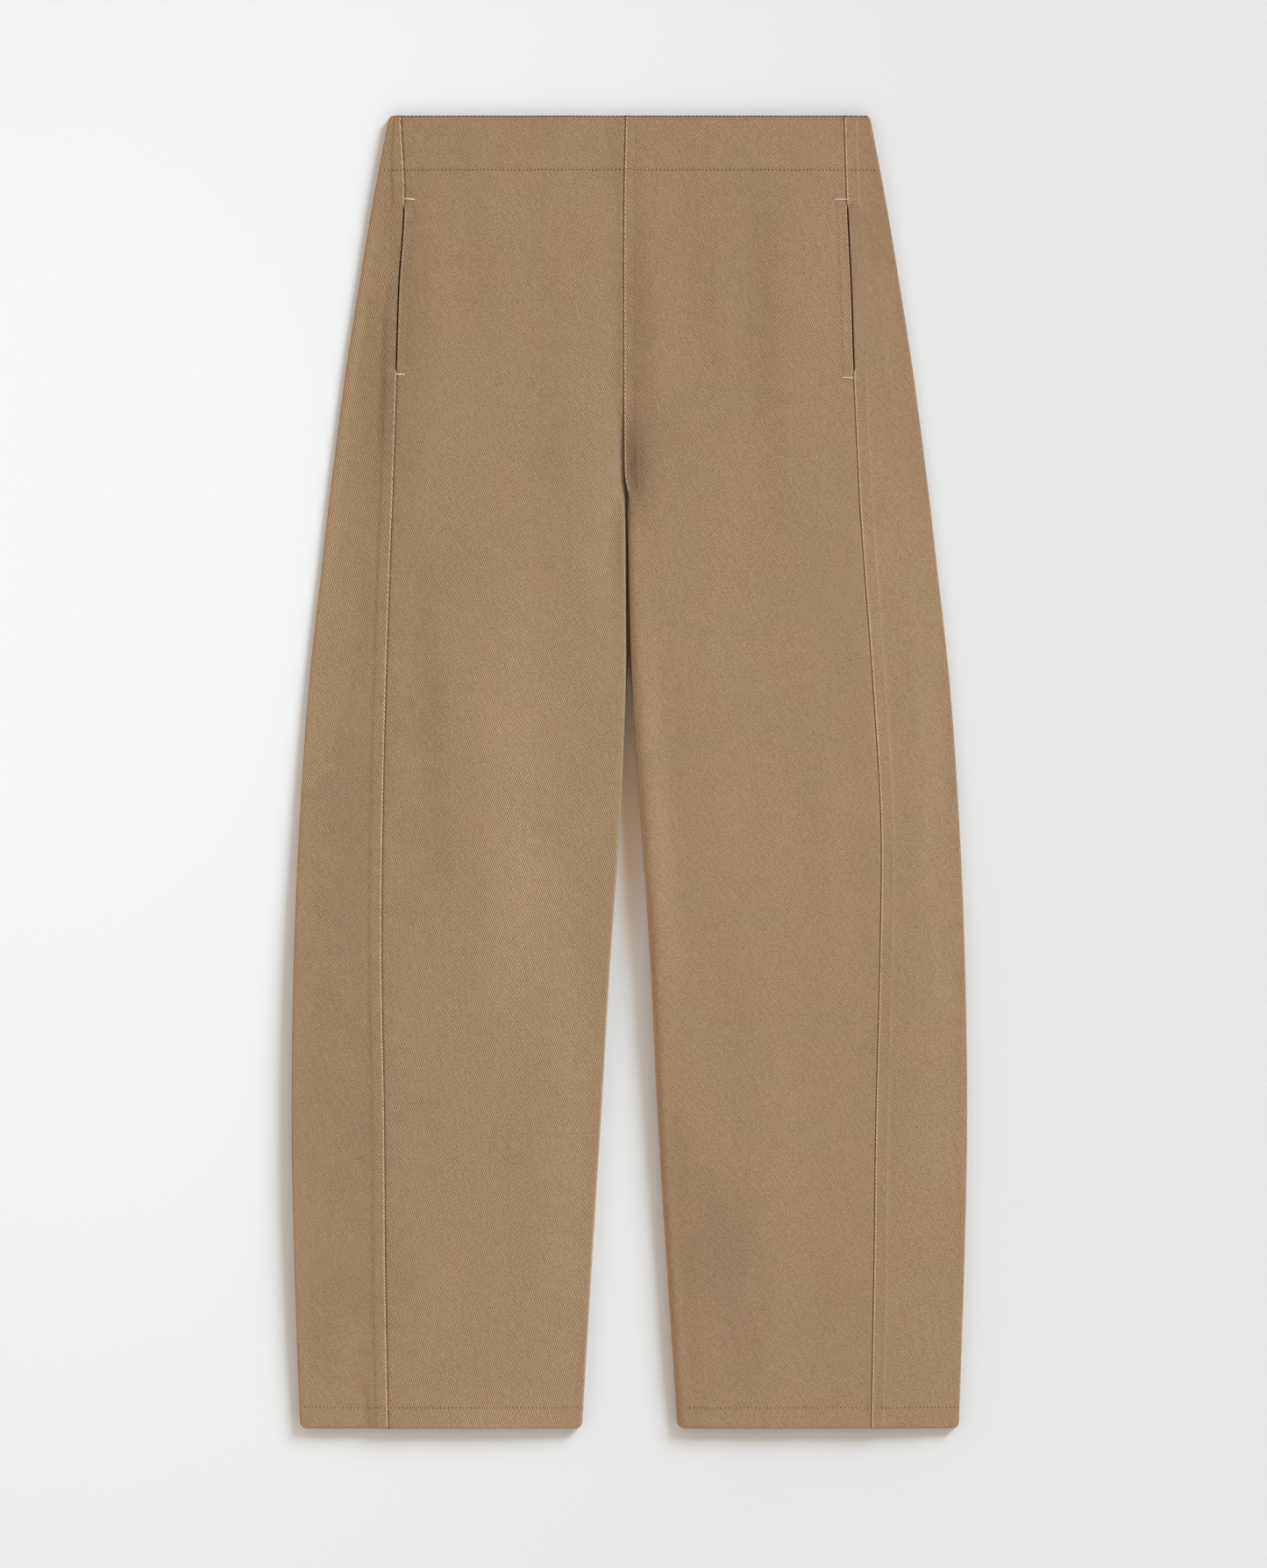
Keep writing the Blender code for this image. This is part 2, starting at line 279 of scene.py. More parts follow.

# %% [markdown]
# Painted light and shade on the cloth.
#
# The cloth is painted with soft light and shade, as light falls on its swells and hollows. Painted shade
# makes it a little darker beside the pockets, along the seams, round the end of the centre seam and on the
# sides of the legs that turn from the light. Painted light makes it lighter at the inner left knee and the
# left hem. An image could hold that, but a short table of soft spots is easier to change: each has a place,
# a size and a shade, below 0 for darker.

# %% Painted light and shade
PAINTED_SHADING = (
    # x, down, half_width, half_length, shade
    (-0.176, 0.150, 0.034, 0.170, -0.16),  # beside the left pocket
    (-0.225, 0.600, 0.062, 0.560, -0.13),  # the outer side of the left leg
    (-0.180, 0.850, 0.045, 0.190, -0.10),
    (-0.086, 0.590, 0.058, 0.240, 0.13),  # the inner side of the left knee
    (0.073, 0.890, 0.062, 0.170, -0.17),  # the inner side of the right calf
    (0.190, 0.150, 0.040, 0.200, -0.12),  # beside the right pocket
    (0.205, 0.700, 0.060, 0.520, -0.11),
    (0.060, 0.180, 0.060, 0.140, -0.03),
    (-0.155, 0.430, 0.040, 0.180, -0.10),
    (-0.002, 0.170, 0.024, 0.230, -0.14),  # along the centre seam
    (0.004, 0.268, 0.015, 0.060, -0.45),  # round the end of the centre seam
    (-0.009, 0.330, 0.009, 0.090, -0.12),
    (-0.194, 0.190, 0.022, 0.110, -0.22),
    (-0.105, 1.000, 0.080, 0.050, 0.17),  # the left hem
)


def painted_shading_at(x, down):
    """Soft places of painted shade and painted light on the cloth."""
    field = 0.0
    for middle, at, half_width, half_length, shade in PAINTED_SHADING:
        field = field + shade * fades(x - middle, half_width) * fades(down - at, half_length)
    return field


print(len(PAINTED_SHADING), "spots of painted light and shade")

# %% [markdown]
# The height of the upper cloth.
#
# The cloth rises from its folded edges to the middle of each leg, and a table holds the heights of
# both edges and the middle. The turned waist and hems lie a little higher, because there are two plies,
# and each line of stitches presses a groove and draws small puckers. The end of the centre seam pulls
# the cloth down. Along each side seam the strip from the back panel lies on top, lifted by the seam
# allowance under it.

# %% Height of the upper cloth
HEIGHT_COLUMNS = ("down", "left_outer", "right_outer", "left_inner", "right_inner", "middle")
HEIGHTS = np.array((
    (0.00, 0.0047, 0.0047, 0.0050, 0.0050, 0.0052),
    (0.05, 0.0046, 0.0046, 0.0063, 0.0063, 0.0064),
    (0.10, 0.0037, 0.0037, 0.0078, 0.0078, 0.0078),
    (0.20, 0.0033, 0.0033, 0.0082, 0.0082, 0.0084),
    (0.28, 0.0033, 0.0033, 0.0072, 0.0086, 0.0088),
    (0.36, 0.0035, 0.0035, 0.0084, 0.0108, 0.0096),
    (0.45, 0.0043, 0.0038, 0.0100, 0.0134, 0.0106),
    (0.55, 0.0058, 0.0042, 0.0104, 0.0142, 0.0114),
    (0.65, 0.0074, 0.0048, 0.0086, 0.0136, 0.0115),
    (0.75, 0.0078, 0.0050, 0.0074, 0.0104, 0.0112),
    (0.85, 0.0077, 0.0050, 0.0070, 0.0084, 0.0104),
    (0.95, 0.0064, 0.0049, 0.0064, 0.0074, 0.0088),
    (1.00, 0.0052, 0.0047, 0.0056, 0.0060, 0.0068),
))
OUTER_REACH = 0.070  # how far in from an outer fold the cloth keeps rising
INNER_REACH = {LEFT: 0.050, RIGHT: 0.026}
CROTCH_HOLLOW = {LEFT: 0.0026, RIGHT: 0.0020}  # how far the end of the centre seam pulls the cloth down
HOLLOW_DOWN, HOLLOW_LENGTH, HOLLOW_REACH = 0.272, 0.060, 0.0105
TURN_LIFT = {"waist": 0.00010, "hem": 0.00005}
GROOVE = 0.00004
GROOVE_WIDTH = 0.0010
FACING = 0.0082  # width of the turning behind each pocket mouth
FACING_RISE = 0.00012
FACING_FADE = 0.0008
MOUTH_BEYOND = 0.006  # how far the turning of a pocket mouth runs past its ends
MOUTH_FADE = 0.004
SOFT_EDGE = 0.008  # how far in from a rounded edge the folds reach their full height
PUCKER_LENGTH = 0.0105
SEAM_PUCKER, SEAM_PUCKER_REACH = 0.00010, 0.009
SEAM_SWING, SEAM_BEAT = 2.2, 47.0  # how unevenly the puckers follow each other along a seam
LINE_PUCKER, LINE_PUCKER_REACH, LINE_PUCKER_LEAN = 0.00009, 0.0144, 0.6
LINE_SWING, LINE_BEAT = 1.7, 61.0  # the same, across the waist and the hems
WAIST_STITCH = WAIST_TURN
HEM_STITCH = LENGTH - HEM_TURN


def turned_relief(x, down):
    """The step, groove and puckers of the turned waist and hem."""
    lift = TURN_LIFT["waist"] * smooth((WAIST_STITCH - down) / GROOVE_WIDTH)
    lift = lift + TURN_LIFT["hem"] * smooth((down - HEM_STITCH) / GROOVE_WIDTH)
    for line in (WAIST_STITCH, HEM_STITCH):
        lift = lift - GROOVE * fades(down - line, GROOVE_WIDTH)
        lean = x + LINE_PUCKER_LEAN * (down - line)
        ripple = np.sin(2 * np.pi * lean / PUCKER_LENGTH + LINE_SWING * np.sin(LINE_BEAT * x))
        lift = lift + LINE_PUCKER * ripple * fades(down - line, LINE_PUCKER_REACH)
    return lift


def height(column, down):
    """A column of the heights."""
    return curve(HEIGHTS, HEIGHT_COLUMNS, column, down)


def inner_height(side, down):
    """The height of a leg's inner edge. It is highest below the knee, over the bulk of the inseam."""
    return height(WORDS[side] + "_inner", down)


def beside_mouth(down):
    """1 beside a pocket mouth, and 0 above and below it."""
    from_top = smooth((down - SLIT_TOP + MOUTH_BEYOND) / MOUTH_FADE)
    from_bottom = smooth((SLIT_BOTTOM + MOUTH_BEYOND - down) / MOUTH_FADE)
    return from_top * from_bottom


def facing_rise(side, x, down):
    """The print of the turning behind a pocket mouth, on the front panel."""
    inside = side * (seam_x(side, down) - x)
    return FACING_RISE * beside_mouth(down) * (1.0 - smooth((inside - FACING) / FACING_FADE))


def top_height(side, x, down):
    """The upper cloth's outer surface, between the folded edges."""
    from_fold = np.abs(outer_x(side, down) - x) - EDGE_ROLL
    from_inner = np.abs(inner_x(side, down) - x)
    c = rolled(down)
    middle = height("middle", down)
    outer = height(WORDS[side] + "_outer", down)
    outer_fall = (middle - outer) * (1.0 - smooth(from_fold / OUTER_REACH))
    inner_fall = (middle - inner_height(side, down)) * (1.0 - smooth(from_inner / INNER_REACH[side]))
    hollow = CROTCH_HOLLOW[side] * fades(from_inner, HOLLOW_REACH) * fades(down - HOLLOW_DOWN, HOLLOW_LENGTH)
    soft = smooth(from_fold / SOFT_EDGE) * (1.0 - c + c * smooth(from_inner / SOFT_EDGE))
    ripple = np.sin(2 * np.pi * down / PUCKER_LENGTH + SEAM_SWING * np.sin(SEAM_BEAT * down))
    near_seam = fades(x - seam_x(side, down), SEAM_PUCKER_REACH)
    near_centre = fades(from_inner, SEAM_PUCKER_REACH) * (1.0 - c)
    return (
        middle
        - outer_fall
        - inner_fall
        - hollow
        + (folds_at(x, down) + waves_at(x, down)) * soft
        + turned_relief(x, down) * soft
        + SEAM_PUCKER * ripple * (near_seam + near_centre) * soft
        + facing_rise(side, x, down)
    )


def allowance_rise(side, x, down):
    """How far the seam allowance lifts the strip beside the side seam."""
    beyond = side * (x - seam_x(side, down))
    room = np.abs(outer_x(side, down) - seam_x(side, down)) - EDGE_ROLL
    reach = np.minimum(ALLOWANCE, room / 2)
    step = np.minimum(ALLOWANCE_STEP, room / 4)
    return ALLOWANCE_RISE * (1.0 - smooth((beyond - reach) / step))


knee = float(top_height(LEFT, -0.11, 0.6))
print("height over the left knee in mm:", round(1000 * knee, 2))

# %% [markdown]
# The direction of the twill.
#
# Twill has fine diagonal ridges. On the laid panels they lean to the left, and their lean changes a
# little along the legs, because each panel is cut on a curve. A table holds the lean at six levels, in
# degrees from the waist line. Every point of the cloth carries its place square to the ridges, so that
# the material can draw them one even pitch apart, and they follow the cloth round the folds.

# %% Lean of the twill
TWILL_COLUMNS = ("down", "front_left", "front_right", "back_left", "back_right")
TWILL_LEAN = np.array((
    (0.00, 121, 116, 105, 139),
    (0.20, 116, 117, 105, 139),
    (0.40, 112, 125, 109, 131),
    (0.62, 111, 127, 120, 122),
    (0.82, 111, 129, 124, 119),
    (1.00, 107, 131, 124, 119),
))
MIDDLE_COLUMN = 24  # a column of every panel that lies on the front of the trousers


def twill_lean(panel, down):
    """The lean of the ridges at this level, in radians."""
    return np.radians(np.interp(down, TWILL_LEAN[:, 0], TWILL_LEAN[:, TWILL_COLUMNS.index(panel)]))


def added_up(value, step):
    """The running sum of a value times its steps, from 0 on."""
    return np.concatenate([[0.0], np.cumsum((value[1:] + value[:-1]) / 2 * step)])


def twill_shift(panel, down):
    """How far the ridges have moved across by this level."""
    fine = np.linspace(0.0, LENGTH, 401)
    return np.interp(down, fine, added_up(1.0 / np.tan(twill_lean(panel, fine)), np.diff(fine)))


def square_to_ridges(panel, place):
    """Turns places along x into places square to the ridges, which stay one pitch apart at every level."""
    turn = np.sin(twill_lean(panel, ROWS))
    middle = place[:, MIDDLE_COLUMN]
    return added_up(turn, np.diff(middle))[:, None] + turn[:, None] * (place - middle[:, None])


print("ridges move across by", round(1000 * float(twill_shift("front_left", 1.0))), "mm down the left front")

# %% [markdown]
# The rows of the cloth, and its sewn edges.
#
# A panel is a grid of points: a row for each level, and columns across it. The columns are close together at
# a seam or a fold, where the cloth turns sharply, and wider apart between them. The sewn edge of a panel is
# a rounded fold of the cloth, one ply thick at its very edge. A mask runs along it: a painted highlight with
# some wear where the yarns catch the light and rub, painted shade beside a lap, and painted shade along the
# edge of a turning that lies under the cloth.

# %% Rows and sewn edges
ROW_STEP = 0.0025
END_ROWS = (0.0, 0.00012, 0.0004, 0.0008, 0.0013, 0.0020, 0.0030, 0.0042)
LINE_ROWS = (-0.0008, -0.0002, 0.0002, 0.0008)  # rows beside each line of stitches
SEAM_STEPS = np.array((
    0.0, 0.0001, 0.0003, 0.0006, 0.0009, 0.0013, 0.0018, 0.0024,
    0.0034, 0.0050, 0.0068, 0.0075, 0.0080, 0.0085, 0.0092,
))
EDGE_RADIUS = 0.00058
RIM = 0.9  # how far round a sewn edge the cloth is turned
ONE_PLY = 0.0016  # how far in from a sewn edge there is only one ply
PLY_FADE = 0.0012
STRIP_HIGHLIGHT_AND_WEAR = {LEFT: 0.7, RIGHT: 1.0}  # how much lighter the strips' sewn edges are painted, as highlight and wear
MOUTH_HIGHLIGHT_AND_WEAR = 0.4  # the same for the pocket mouths
HIGHLIGHT_WEAR_PLACE, HIGHLIGHT_WEAR_WIDTH = 0.0006, 0.0009  # where it is strongest, and how far it reaches
SHADE, SHADE_REACH, SHADE_FADE = 0.20, 0.0009, 0.0008
# painted shade along the edge of a turning under the cloth: how dark, and how wide
TURNING_SHADE, TURNING_SHADE_WIDTH = 0.10, 0.0010

rows = np.arange(END_ROWS[-1] + ROW_STEP, LENGTH - END_ROWS[-1] - ROW_STEP / 2, ROW_STEP)
near_lines = [line + offset for line in (WAIST_STITCH, HEM_STITCH) for offset in LINE_ROWS]
ROWS = np.unique(np.round(np.concatenate([END_ROWS, rows, near_lines, LENGTH - np.array(END_ROWS)]), 6))
DOWN = ROWS[:, None]


def edge_round(distance, radius=EDGE_RADIUS):
    """How far a rounded edge falls away, near the edge."""
    near = np.clip(distance, 0.0, radius)
    return RIM * (radius - np.sqrt(radius**2 - (radius - near) ** 2))


def end_round(down):
    """The rounded fold of the turned waist and hem."""
    return edge_round(np.minimum(down, LENGTH - down), CLOTH)


def edge_highlight_and_wear(steps):
    """1 along the top of a sewn edge, a painted highlight where the yarns catch the light, with some wear
    where they rub, and 0 away from it.
    """
    return fades(steps - HIGHLIGHT_WEAR_PLACE, HIGHLIGHT_WEAR_WIDTH)


def edge_shade(steps):
    """Below 0 along the edge of a seam's lower panel, which lies in the shade of the upper one."""
    return -SHADE * smooth(1.0 - (steps - SHADE_REACH) / SHADE_FADE)


def turning_edge_shade(distance):
    """Painted shade: a faint dark line along the edge of a turning that lies under the cloth."""
    return -TURNING_SHADE * fades(distance, TURNING_SHADE_WIDTH)


def thin_edge(inset, steps):
    """The inset near a sewn edge: one ply at the very edge, and the full wall further in."""
    return np.minimum(inset, CLOTH) + np.maximum(inset - CLOTH, 0.0) * smooth((steps - ONE_PLY) / PLY_FADE)


def sewn_edge(top, inset, steps):
    """Heights of a rounded, sewn edge, on its outer or its inner surface."""
    fall = edge_round(steps)
    return top - np.where(inset > 0, thin_edge(inset, steps) - fall, fall)


print(len(ROWS), "rows, and", len(SEAM_STEPS), "columns at each sewn edge")

# %% [markdown]
# The inner edges of the legs.
#
# Above the crotch the right front laps over the left one at the centre seam. Below it the inner edge
# of each leg rolls down to the inseam, and the back panel rolls up to meet it. Just below the crotch
# the two back panels spread until they touch, as soft legs that lie side by side do. The columns change
# from one form to the other over a short way, so no cut has to be made in the grid.

# %% Inner edges
LAP = 0.0008  # how far the upper panel of a seam reaches over the lower one
LAP_LIFT = 0.0005
LAP_DIP = 0.0007  # how far the lower panel dips to pass under it
DIP_REACH = 0.0022
UPPER_ROLL = {LEFT: 0.0018, RIGHT: 0.0095}  # how far in from a leg's inner edge the front turns down
LOWER_ROLL = 0.0016
FOOT_TOP = 0.30  # how far round the lower roll the cloth spreads out, where the legs touch
FOOT_CLOSE = 0.0010  # how much closer the back panels' edges lie where the roll begins
FOOT_CLOSED = 0.3  # by which share of the roll they lie so
SEAM_LEVEL = 0.4  # height of the inseam, as a share of the leg's height there
SQUARE = 0.7  # below 1, a fold has flatter sides and tighter corners than a half circle
TIGHTEST = 0.0002  # the smallest radius on the inner surface of a roll


def squared(wave):
    """A sine or cosine, pushed outwards so that a fold gets flatter sides."""
    return np.sign(wave) * np.abs(wave) ** SQUARE


def joined(*parts):
    """Groups of columns side by side."""
    return np.concatenate(parts, axis=1)


def inner_edge(side, inner, inset, upper):
    """The columns at a leg's inner edge: a sewn edge above the crotch, and half of a roll below it."""
    c = rolled(DOWN)
    steps = SEAM_STEPS[::-1]
    turn = np.linspace(np.pi / 2, 0.0, len(steps))
    reach = UPPER_ROLL[side] if upper else LOWER_ROLL
    roll_start = inner + side * reach
    roll_x = roll_start - side * np.maximum(reach - inset, TIGHTEST) * squared(np.cos(turn))
    seam_level = inner_height(side, DOWN) * SEAM_LEVEL
    if upper:
        # the right front's sewn edge gets a painted highlight with wear and painted shade along its
        # allowance; the left front's edge lies in painted shade under the lap
        if side == RIGHT:
            painted_light_and_wear = edge_highlight_and_wear(steps) + turning_edge_shade(steps - ALLOWANCE)
            flat_x = inner + side * steps
            lift = LAP_LIFT * fades(steps, ALLOWANCE)
        else:
            painted_light_and_wear = edge_shade(steps)
            flat_x = inner + side * (steps - LAP)
            lift = -LAP_DIP * fades(steps, DIP_REACH)
        flat_z = sewn_edge(top_height(side, flat_x, DOWN) + lift, inset, steps)
        full = top_height(side, roll_start, DOWN) - inset
        low = seam_level + SEAM_GAP / 2
        roll_z = low + (full - low) * squared(np.sin(turn))
    else:
        painted_light_and_wear = np.zeros_like(steps)
        spread = half_gap(side, DOWN) * touching(DOWN)
        close = FOOT_CLOSE * touching(DOWN) * smooth(c / FOOT_CLOSED)
        flat_x = inner + side * (np.maximum(steps - close, 0.0) - spread)
        hollow = touching(DOWN) * reach * (1.0 - squared(np.cos(turn)))
        foot = smooth(turn / FOOT_TOP) * smooth((np.pi / 2 - turn) / FOOT_TOP)
        roll_x = roll_x - side * (spread + hollow) * foot
        fall = edge_round(steps)
        flat_z = inset + np.where(inset > 0, -fall, fall)
        high = seam_level - SEAM_GAP / 2
        roll_z = high - (high - inset) * squared(np.sin(turn))
    return flat_x + (roll_x - flat_x) * c, flat_z + (roll_z - flat_z) * c, painted_light_and_wear * (1.0 - c)


inseam = float(inner_height(RIGHT, 0.6)) * SEAM_LEVEL
print("height of the right inseam at the knee in mm:", round(1000 * inseam, 1))

# %% [markdown]
# The two kinds of panel.
#
# A front runs from the side seam to the inner edge. A back starts as the strip on the front, turns round
# the outer fold and runs under the leg. Both are made at every level at once, for the outer surface and
# again for the inner one, which is the same grid moved in by the cloth.

# %% Sections of a front and a back
FRONT_BETWEEN = 44
STRIP_BETWEEN = 18
STRIP_CROWD = 1.3  # above 1, the strip's columns are closer together near the seam
STRIP_EDGE = 0.6  # the most of a narrow strip that its sewn edge may take
UNDER_BETWEEN = 30
FOLD_STEPS = 14


def front_section(side, inset):
    """A front panel's points, from its side seam to its inner edge."""
    seam = seam_x(side, DOWN) - side * (SEAM_GAP / 2 + slit(DOWN))
    inner = inner_x(side, DOWN)
    x_a = seam - side * SEAM_STEPS
    mouth = slit(DOWN) / SLIT_OPEN
    dip = LAP_DIP * (1.0 - mouth) - MOUTH_LIFT * mouth
    dipped = top_height(side, x_a, DOWN) - dip * fades(SEAM_STEPS, DIP_REACH)
    z_a = sewn_edge(dipped, inset, SEAM_STEPS)
    x_c, z_c, painted_light_and_wear_c = inner_edge(side, inner, inset, upper=True)
    share = np.linspace(0.0, 1.0, FRONT_BETWEEN + 2)[1:-1]
    x_b = x_a[:, -1:] + (x_c[:, :1] - x_a[:, -1:]) * share
    z_b = top_height(side, x_b, DOWN) - inset
    # a pocket mouth's edge gets a painted highlight with wear, the rest of the seam edge painted shade under
    # the lap, and the facing's edge a line of painted shade
    painted_light_and_wear_a = MOUTH_HIGHLIGHT_AND_WEAR * edge_highlight_and_wear(SEAM_STEPS) * mouth + edge_shade(SEAM_STEPS) * (1.0 - mouth)
    painted_light_and_wear_a = painted_light_and_wear_a + turning_edge_shade(SEAM_STEPS - FACING) * beside_mouth(DOWN)
    return joined(x_a, x_b, x_c), joined(z_a, z_b, z_c), joined(painted_light_and_wear_a, np.zeros_like(x_b), painted_light_and_wear_c)


def back_section(side, inset):
    """A back panel's points, from its side seam on the front, round the fold, to its inner edge."""
    mouth = slit(DOWN) / SLIT_OPEN
    seam = seam_x(side, DOWN) + side * (SEAM_GAP / 2 - LAP * (1.0 - mouth))
    outer, inner = outer_x(side, DOWN), inner_x(side, DOWN)
    fold_start = outer - side * EDGE_ROLL
    room = np.abs(fold_start - seam)
    steps = SEAM_STEPS * np.minimum(1.0, room * STRIP_EDGE / SEAM_STEPS[-1])
    x_a = seam + side * steps
    sunk = MOUTH_LIFT * mouth * fades(steps, ALLOWANCE)
    rise = allowance_rise(side, x_a, DOWN) * (1.0 - mouth) - sunk
    z_a = sewn_edge(top_height(side, x_a, DOWN) + rise, inset, steps)
    share = np.linspace(0.0, 1.0, STRIP_BETWEEN + 1)[1:-1] ** STRIP_CROWD
    x_b = x_a[:, -1:] + (fold_start - x_a[:, -1:]) * share
    z_b = top_height(side, x_b, DOWN) + allowance_rise(side, x_b, DOWN) * (1.0 - mouth) - inset
    turn = np.pi / 2 - np.pi * np.linspace(0.0, 1.0, FOLD_STEPS + 1)
    half = top_height(side, fold_start, DOWN) / 2
    x_f = fold_start + side * np.maximum(EDGE_ROLL - inset, TIGHTEST) * squared(np.cos(turn))
    z_f = half + (half - inset) * squared(np.sin(turn))
    x_c, z_c, painted_light_and_wear_c = inner_edge(side, inner, inset, upper=False)
    share = np.linspace(0.0, 1.0, UNDER_BETWEEN + 2)[1:-1]
    x_u = fold_start + (x_c[:, :1] - fold_start) * share
    z_u = np.broadcast_to(inset, x_u.shape)
    # the strip's sewn edge gets a painted highlight with wear, and the allowance's edge a line of painted
    # shade
    painted_light_and_wear_a = STRIP_HIGHLIGHT_AND_WEAR[side] * edge_highlight_and_wear(steps) * (1.0 - mouth)
    painted_light_and_wear_a = painted_light_and_wear_a + turning_edge_shade(steps - np.minimum(ALLOWANCE, room / 2))
    painted_light_and_wear = joined(painted_light_and_wear_a, np.zeros_like(joined(x_b, x_f, x_u)), painted_light_and_wear_c)
    return joined(x_a, x_b, x_f, x_u, x_c), joined(z_a, z_b, z_f, z_u, z_c), painted_light_and_wear


for section in (front_section, back_section):
    print(section.__name__, "has", section(LEFT, np.zeros_like(DOWN))[0].shape[1], "columns")

# %% [markdown]
# From grids to a shell of cloth.
#
# The outer and inner grids become one closed mesh, joined along their rims. Its points keep an attribute
# with three numbers: the place square to the ridges of the twill, the level, and the painted light, shade
# and wear of the cloth there. Round the outer fold the place is the length measured round the cloth, so the
# ridges run round it unbroken. At the waist the upper edge lies a little inside the lower one.

# %% Shells of cloth
INSET = ply(DOWN)
CREVICE, CREVICE_REACH = 0.0003, 0.006  # how far the upper waist edge lies inside the lower one
WAIST_OPENING, OPENING_FADE = 0.0022, 0.0016  # the height at which the upper waist edge begins
WAIST_EDGE_SHADE, WAIST_EDGE_SHADE_FADE = 0.0006, 0.0010  # how far down the top of the waist edge is painted in shade, and how far on it fades


def grid_faces(n_rows, n_columns):
    """Corner numbers of every square of a grid."""
    first = (np.arange(n_rows - 1)[:, None] * n_columns + np.arange(n_columns - 1)).ravel()
    return np.stack([first, first + n_columns, first + n_columns + 1, first + 1], 1)


def rim_ring(n_rows, n_columns):
    """Point numbers round the rim of a grid."""
    number = np.arange(n_rows * n_columns).reshape(n_rows, n_columns)
    return np.concatenate([number[0, :-1], number[:-1, -1], number[-1, :0:-1], number[:0:-1, 0]])


def stack(x, z, pull):
    """Points from x and z for every row, with y from the rows."""
    return np.stack([x, LENGTH / 2 - DOWN - pull, z], axis=-1)


def closed_mesh(name, outer, inner):
    """One mesh from an outer and an inner grid of points, joined along their rims."""
    n_rows, n_columns = outer.shape[:2]
    count = n_rows * n_columns
    squares = grid_faces(n_rows, n_columns)
    ring = rim_ring(n_rows, n_columns)
    after = np.roll(ring, -1)
    rim = np.stack([ring, after, after + count, ring + count], 1)
    faces = np.concatenate([squares, squares[:, ::-1] + count, rim])
    mesh = bpy.data.meshes.new(name)
    points = np.concatenate([outer.reshape(-1, 3), inner.reshape(-1, 3)])
    mesh.from_pydata(points.tolist(), [], faces.tolist())
    return mesh


def placed(name, data):
    """A new object in the scene."""
    made = bpy.data.objects.new(name, data)
    bpy.context.scene.collection.objects.link(made)
    return made


def smooth_piece(name, mesh):
    """Turns every face outwards and puts the mesh into the scene, with smooth shading."""
    made = bmesh.new()
    made.from_mesh(mesh)
    bmesh.ops.recalc_face_normals(made, faces=made.faces)
    made.to_mesh(mesh)
    made.free()
    mesh.shade_smooth()
    return placed(name, mesh)


def cloth_shell(name, section, side):
    """One panel as a closed shell that carries its place on the cloth."""
    direction = side if section is back_section else -side
    x, z, painted_light_and_wear = section(side, np.zeros_like(DOWN))
    x_in, z_in, _ = section(side, INSET)
    pull = CREVICE * fades(DOWN, CREVICE_REACH) * smooth((z - WAIST_OPENING) / OPENING_FADE)
    # painted light and shade from the table of spots, on the upper cloth only
    painted_light_and_wear = painted_light_and_wear + painted_shading_at(x, DOWN) * (z > inner_height(side, DOWN) / 2)
    # painted shade along the top of the waist edge, where it lies in the crevice
    painted_light_and_wear = painted_light_and_wear - (1.0 + painted_light_and_wear) * smooth(1.0 - (DOWN - WAIST_EDGE_SHADE) / WAIST_EDGE_SHADE_FADE) * (pull > 0)
    outward = np.where(np.gradient(x, axis=1) * direction < 0, -1.0, 1.0)
    ends = end_round(DOWN)
    outer, inner = stack(x, z - outward * ends, pull), stack(x_in, z_in + outward * ends, pull)
    mesh = closed_mesh(name, outer, inner)
    steps = np.linalg.norm(np.diff(outer, axis=1), axis=2)
    girth = joined(np.zeros((len(ROWS), 1)), np.cumsum(steps, axis=1))
    across = square_to_ridges(name, x[:, :1] + direction * girth + twill_shift(name, DOWN))
    place = np.stack([across, np.broadcast_to(DOWN, across.shape), painted_light_and_wear], -1).reshape(-1, 3)
    stored = mesh.attributes.new("cloth_place", "FLOAT_VECTOR", "POINT")
    stored.data.foreach_set("vector", np.concatenate([place, place]).astype(np.float32).ravel())
    print(name, "has", len(mesh.polygons), "faces")
    return smooth_piece(name + "_cloth", mesh)


PANELS = {}
for part, section in (("front", front_section), ("back", back_section)):
    for side, word in WORDS.items():
        name = part + "_" + word
        PANELS[name] = cloth_shell(name, section, side)

# %% [markdown]
# The pocket bags.
#
# They hang inside, from the pocket mouths, and show only as a sliver through the open slits. A bag is
# one piece of thin pocketing folded in half, so it is a section with a round fold at its inner end.

# %% Pocket bags
POCKET_PLY = 0.0010
POCKET_TOP = 0.0440
POCKET_BOTTOM = 0.290
POCKET_WIDTH = 0.125
POCKET_CORNER = 0.060
POCKET_UNDER = 0.0060  # how far the lower ply reaches out under the strip
BAG_BACK = 0.0030  # how far the upper ply ends inside the front panel's edge
BAG_COLUMNS = 24
BAG_ROWS = 60
BAG_END = 0.97  # the rows stop just short of the rounded end
BAG_TURNS = 9


def pocket_reach(down):
    """How far a bag reaches in from the side seam, with its lower corner rounded."""
    below = np.clip(down - (POCKET_BOTTOM - POCKET_CORNER), 0.0, POCKET_CORNER)
    return POCKET_WIDTH - POCKET_CORNER + np.sqrt(POCKET_CORNER**2 - below**2)


